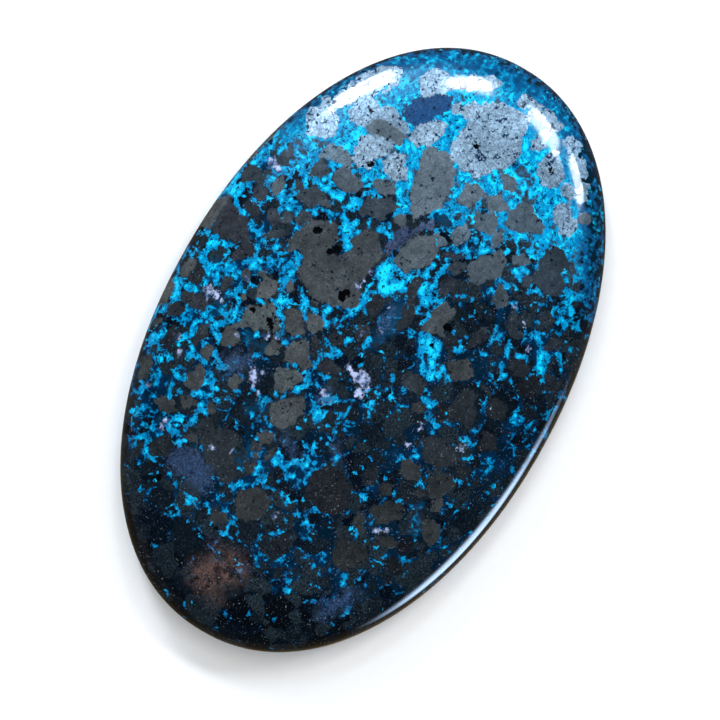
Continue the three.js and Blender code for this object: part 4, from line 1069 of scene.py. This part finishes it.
# Colour of the ground between the clasts: dark rock with teal pools, a blue halo round each vein,
# thin turquoise, crumbs of ore and violet-blue stains. The share of each is kept for later layers.
def ground_between_clasts(tree, ground, depth, shares):
    colour = dark_rock(tree, ground)
    pool = add(tree, RANGE, depth["pool"], -0.3, 0.35, 0.0, 0.8, **SMOOTH)
    colour = add(tree, MIX, pool, colour, linear("#003A58"), **COLOURS)
    halo = add(tree, RANGE, depth["vein"], -0.55, -0.05, 0.0, 0.7, **SMOOTH)
    colour = add(tree, MIX, halo, colour, linear("#002848"), **COLOURS)
    crumb_colour, crumb, seam = all_crumbs(tree, ground)
    thin_depth = ground_turquoise(tree, ground, seam, depth["vein"])
    thin = add(tree, RANGE, thin_depth, -0.05, 0.0, 0.0, 1.0, **SMOOTH)
    colour = add(tree, MIX, thin, colour, turquoise(tree, ground, thin_depth, 0.08), **COLOURS)
    bare_crumb = add(tree, RANGE, thin_depth, 0.04, 0.08, 1.0, 0.0, **SMOOTH)
    crumb = add(tree, MATH, crumb, bare_crumb, **PRODUCT)
    dry = add(tree, MATH, 1.0, pool, operation="SUBTRACT")
    crumb = add(tree, MATH, crumb, dry, **PRODUCT)
    colour = add(tree, MIX, crumb, colour, crumb_colour, **COLOURS)
    stain = add(tree, RANGE, depth["stain"], -0.35, 0.5, 0.0, 0.7, **SMOOTH)
    mealy = add(tree, RANGE, ground["fine"], 0.36, 0.68, 0.0, 1.0)
    stained = add(tree, MIX, mealy, linear("#1A2C44"), linear("#40587E"), **COLOURS)
    shares.update(thin=thin, crumb=crumb, stain=stain)
    return add(tree, MIX, stain, colour, stained, **COLOURS)


# Lays the veins over the ground and the clasts over both, except where a vein runs through a clast:
# colour, and how metallic the clasts are
def veins_and_clasts(tree, ground, depth, shares, colour):
    shallow = add(tree, MATH, depth["clast"], 0.1, operation="MINIMUM")
    over_vein = add(tree, MATH, shallow, depth["vein"], operation="SUBTRACT")
    clear = add(tree, RANGE, over_vein, -0.04, 0.04, 0.0, 1.0, **SMOOTH)
    solid = add(tree, RANGE, depth["clast"], -0.02, 0.04, 0.0, 1.0, **SMOOTH)
    clast = add(tree, MATH, solid, clear, **PRODUCT)
    vein = add(tree, RANGE, depth["vein"], -0.05, 0.0, 0.0, 1.0, **SMOOTH)
    colour = add(tree, MIX, vein, colour, turquoise(tree, ground, depth["vein"], 0.06), **COLOURS)
    clast_colour, clast_metal = clast_surface(tree, ground)
    shares.update(vein=vein, clast=clast)
    return add(tree, MIX, clast, colour, clast_colour, **COLOURS), clast_metal


# Milky quartz and a mealy crust of rust, laid over the rest
def quartz_and_rust(tree, ground, depth, shares, colour):
    quartz = add(tree, RANGE, depth["quartz"], -0.06, 0.12, 0.0, 0.9, **SMOOTH)
    milky = add(tree, RANGE, ground["fray"][2], 0.36, 0.62, 0.0, 1.0, **SMOOTH)
    milky = add(tree, MIX, milky, linear("#1E3858"), linear("#B0BEE4"), **COLOURS)
    colour = add(tree, MIX, quartz, colour, milky, **COLOURS)
    rust = add(tree, RANGE, depth["rust"], -0.4, 0.7, 0.0, 0.8, **SMOOTH)
    crust = add(tree, RANGE, ground["fray"][1], 0.42, 0.64, 1.0, 0.15, **SMOOTH)
    rust = add(tree, MATH, rust, crust, **PRODUCT)
    meal = add(tree, RANGE, ground["fine"], 0.4, 0.62, 1.0, 0.3)
    rust = add(tree, MATH, rust, meal, **PRODUCT)
    shares.update(quartz=quartz, rust=rust)
    return add(tree, MIX, rust, colour, linear("#66504A"), **COLOURS)


# Dust on the rock and the clasts, but not on the turquoise, and then the pits, painted black as shade in
# their hollows
def dust_and_pits(tree, ground, depth, shares, colour):
    dust_colour, dust_share = dust(tree, ground)
    blue = add(tree, MATH, shares["vein"], shares["thin"], operation="MAXIMUM")
    between_clasts = add(tree, MATH, 1.0, shares["clast"], operation="SUBTRACT")
    dustless = add(tree, MATH, blue, between_clasts, **PRODUCT)
    dusty = add(tree, MATH, 1.0, dustless, operation="SUBTRACT")
    dust_share = add(tree, MATH, dust_share, dusty, **PRODUCT)
    colour = add(tree, MIX, dust_share, colour, dust_colour, **COLOURS)
    # painted shade: the pits' hollows are painted near-black
    pit = add(tree, RANGE, depth["pit"], -0.04, 0.02, 0.0, 1.0, **SMOOTH)
    shares.update(pit=pit)
    return add(tree, MIX, pit, colour, linear("#030406"), **COLOURS)


# How metallic the surface is: only the clasts and the crumbs of ore are, where nothing covers them
def metal_of_ore(tree, shares, clast_metal):
    crumb_metal = add(tree, MATH, shares["crumb"], 0.4, **PRODUCT)
    open_ground = add(tree, MATH, 1.0, shares["vein"], operation="SUBTRACT")
    crumb_metal = add(tree, MATH, crumb_metal, open_ground, **PRODUCT)
    metal = add(tree, MIX, shares["clast"], crumb_metal, clast_metal, **VALUES)
    covered = add(tree, MATH, shares["quartz"], shares["pit"], operation="MAXIMUM")
    covered = add(tree, MATH, covered, shares["rust"], operation="MAXIMUM")
    covered = add(tree, MATH, covered, shares["stain"], operation="MAXIMUM")
    bare = add(tree, MATH, 1.0, covered, operation="SUBTRACT")
    return add(tree, MATH, metal, bare, **PRODUCT)


# Roughness of the polish on rock and on ore, and of the ground back. Clasts stand a trace proud, because
# they are harder to polish away.
ROCK_ROUGHNESS = 0.11
ORE_ROUGHNESS = 0.17
BACK_ROUGHNESS = 0.55
RELIEF_STRENGTH = 0.1
RELIEF_HEIGHT = 0.02


# Turquoise rock, cut as a cabochon and polished: bright blue veins and grey metallic clasts in black rock,
# all under one even gloss, with the flat back left finely ground
def polished_rock():
    material = bpy.data.materials.new("polished_turquoise_rock")
    material.use_nodes = True
    tree = material.node_tree
    tree.nodes.clear()
    ground = rock_grounds(tree)
    depth = marking_depths(tree, ground)
    shares = {}
    colour = ground_between_clasts(tree, ground, depth, shares)
    colour, clast_metal = veins_and_clasts(tree, ground, depth, shares, colour)
    colour = quartz_and_rust(tree, ground, depth, shares, colour)
    colour = dust_and_pits(tree, ground, depth, shares, colour)
    metal = metal_of_ore(tree, shares, clast_metal)
    gloss = add(tree, MIX, metal, ROCK_ROUGHNESS, ORE_ROUGHNESS, **VALUES)
    gloss = add(tree, MIX, ground["drawn"], BACK_ROUGHNESS, gloss, **VALUES)
    relief = add(tree, MATH, ground["fine"], 0.3, shares["clast"], operation="MULTIPLY_ADD")
    normal = add(tree, "ShaderNodeBump", RELIEF_STRENGTH, RELIEF_HEIGHT * MM, named={"Height": relief})
    shader = add(tree, "ShaderNodeBsdfPrincipled", named={
        "Base Color": colour, "Metallic": metal, "Roughness": gloss, "Normal": normal, "IOR": 1.3,
        "Coat Weight": 1.0, "Coat Roughness": 0.08, "Coat IOR": 1.35,
    })
    add(tree, "ShaderNodeOutputMaterial", shader)
    return material


# Smooth matt card, so pale that the stone's shadow is its only mark
def pale_card():
    material = bpy.data.materials.new("pale_matt_card")
    material.use_nodes = True
    tree = material.node_tree
    tree.nodes.clear()
    fibre = add(tree, NOISE, add(tree, "ShaderNodeTexCoord").node.outputs["Object"], per_mm(0.6), 4.0)
    colour = add(tree, MIX, fibre, linear("#F1F1F0"), linear("#F6F6F5"), **COLOURS)
    shader = add(tree, "ShaderNodeBsdfPrincipled", named={"Base Color": colour, "Roughness": 0.9})
    add(tree, "ShaderNodeOutputMaterial", shader)
    return material


# Direction from the stone, given as degrees round from +X towards +Y and degrees above the floor
def direction(round_from_x, above_floor):
    turn = math.radians(round_from_x)
    rise = math.radians(above_floor)
    return Vector((math.cos(turn) * math.cos(rise), math.sin(turn) * math.cos(rise), math.sin(rise)))


# Panels of light: name, degrees round and above, width and height in degrees, and brightness.
# Distances and sizes of lights and floor are in metres.
PANEL_DISTANCE = 0.5
PANEL_COLOUR = "#F4F8FF"
PANELS = (
    ("panel_upper_left", 49.5, 33, 14, 21, 20.0),
    ("panel_top", 14.5, 52, 14, 9, 22.0),
    ("panel_top_right", -16, 51, 16, 10, 22.0),
    ("panel_right", -37, 43, 12, 10, 22.0),
)

# A soft light straight above, which the polish doesn't mirror
FILL_SIZE = 0.5
FILL_HEIGHT = 0.55
FILL_BRIGHTNESS = 3.15
FILL_COLOUR = "#FFFFFF"


def add_area_light(name, place, width, height, brightness, colour):
    bpy.ops.object.light_add(type="AREA", location=place)
    lamp = bpy.context.object
    lamp.name = name
    lamp.rotation_euler = (-place).to_track_quat("-Z", "Y").to_euler()
    lamp.data.shape = "RECTANGLE"
    lamp.data.size = width
    lamp.data.size_y = height
    lamp.data.energy = brightness * math.pi * width * height
    lamp.data.color = linear(colour)[:3]
    lamp.visible_camera = False
    return lamp


def light_stone():
    for name, round_from_x, above_floor, wide, high, brightness in PANELS:
        place = direction(round_from_x, above_floor) * PANEL_DISTANCE
        width = 2 * PANEL_DISTANCE * math.tan(math.radians(wide / 2)) * math.cos(math.radians(above_floor))
        height = 2 * PANEL_DISTANCE * math.tan(math.radians(high / 2))
        add_area_light(name, place, width, height, brightness, PANEL_COLOUR)
    above = Vector((0, 0, FILL_HEIGHT))
    fill = add_area_light("soft_fill", above, FILL_SIZE, FILL_SIZE, FILL_BRIGHTNESS, FILL_COLOUR)
    fill.visible_glossy = False


# The room that the polish mirrors: dim overhead, a band just above the floor that is paler on one side,
# brown dimness below it, a bluish glow round the panels and a bright sheen low down at one side.
# Its lights are brighter than a hex value can give, so all its colours are linear.
OVERHEAD_COLOUR = (0.012, 0.014, 0.018, 1)
BELOW_COLOUR = (0.1, 0.075, 0.04, 1)
GLOW_AT = direction(45, 46)
GLOW_SPREAD = (28, 5)
GLOW_COLOUR = (2.0, 2.6, 3.3, 1)
BAND_AT = direction(105, 8)
BAND_SPREAD = (95, 30)
BAND_DIM = (0.03, 0.032, 0.036, 1)
BAND_PALE = (0.15, 0.156, 0.17, 1)
SHEEN_AT = direction(-103, -12)
SHEEN_SPREAD = (26, 11)
SHEEN_COLOUR = (9.0, 12.0, 16.0, 1)


# How near a way out of the stone is to a direction, from 0 at the spread's outer angle to 1 at its
# inner one
def nearness(tree, way, towards, spread):
    cosine = add(tree, "ShaderNodeVectorMath", way, towards, operation="DOT_PRODUCT").node.outputs["Value"]
    angle = add(tree, MATH, cosine, operation="ARCCOSINE")
    return add(tree, RANGE, angle, math.radians(spread[0]), math.radians(spread[1]), 0.0, 1.0)


def mirrored_room():
    world = bpy.data.worlds.new("dim_studio")
    bpy.context.scene.world = world
    world.use_nodes = True
    tree = world.node_tree
    tree.nodes.clear()
    way = add(tree, "ShaderNodeTexCoord").node.outputs["Generated"]
    height = add(tree, "ShaderNodeSeparateXYZ", way).node.outputs["Z"]
    above = add(tree, RANGE, height, -0.02, 0.1, 0.0, 1.0, **SMOOTH)
    overhead = add(tree, RANGE, height, 0.3, 0.6, 0.0, 1.0, **SMOOTH)
    side = nearness(tree, way, BAND_AT, BAND_SPREAD)
    pale = add(tree, MIX, side, BAND_DIM, BAND_PALE, **COLOURS)
    band = add(tree, MIX, above, BELOW_COLOUR, pale, **COLOURS)
    room = add(tree, MIX, overhead, band, OVERHEAD_COLOUR, **COLOURS)
    glow = add(tree, MATH, nearness(tree, way, GLOW_AT, GLOW_SPREAD), 2.0, operation="POWER")
    lit = add(tree, MIX, glow, room, GLOW_COLOUR, **COLOURS)
    sheen = add(tree, MATH, nearness(tree, way, SHEEN_AT, SHEEN_SPREAD), 2.0, operation="POWER")
    lit = add(tree, MIX, sheen, lit, SHEEN_COLOUR, **COLOURS)
    add(tree, "ShaderNodeOutputWorld", add(tree, "ShaderNodeBackground", lit, 1.0))


# Camera: almost straight above, turned so that the long axis leans as it does in the picture
VIEW_AZIMUTH = math.radians(-60.6)
VIEW_ELEVATION = math.radians(87)
VIEW_DISTANCE = 175.05 * MM
VIEW_TARGET = Vector((-0.676, -0.148, 1.965)) * MM
VIEW_LENS = 150
VIEW_SENSOR = 36
VIEW_NEAREST = 10 * MM


def place_camera():
    level = math.cos(VIEW_ELEVATION)
    rise = math.sin(VIEW_ELEVATION)
    away = Vector((math.sin(VIEW_AZIMUTH) * level, -math.cos(VIEW_AZIMUTH) * level, rise))
    bpy.ops.object.camera_add(location=VIEW_TARGET + away * VIEW_DISTANCE)
    camera = bpy.context.object
    camera.rotation_euler = (-away).to_track_quat("-Z", "Y").to_euler()
    camera.data.lens = VIEW_LENS
    camera.data.sensor_width = VIEW_SENSOR
    camera.data.clip_start = VIEW_NEAREST
    bpy.context.scene.camera = camera


# The floor lies just under the stone, so that the two faces don't touch
FLOOR_SIDE = 4.0
FLOOR_GAP = 0.01 * MM


def lay_floor():
    bpy.ops.mesh.primitive_plane_add(size=FLOOR_SIDE, location=(0, 0, -FLOOR_GAP))
    floor = bpy.context.object
    floor.name = "pale_floor"
    floor.data.materials.append(pale_card())
    floor.visible_glossy = False


stone = model_stone()
stone.data.materials.append(polished_rock())
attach(stone, "root")
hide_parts(NODE)
lay_floor()
light_stone()
mirrored_room()
place_camera()
bpy.context.scene.view_settings.view_transform = "Standard"
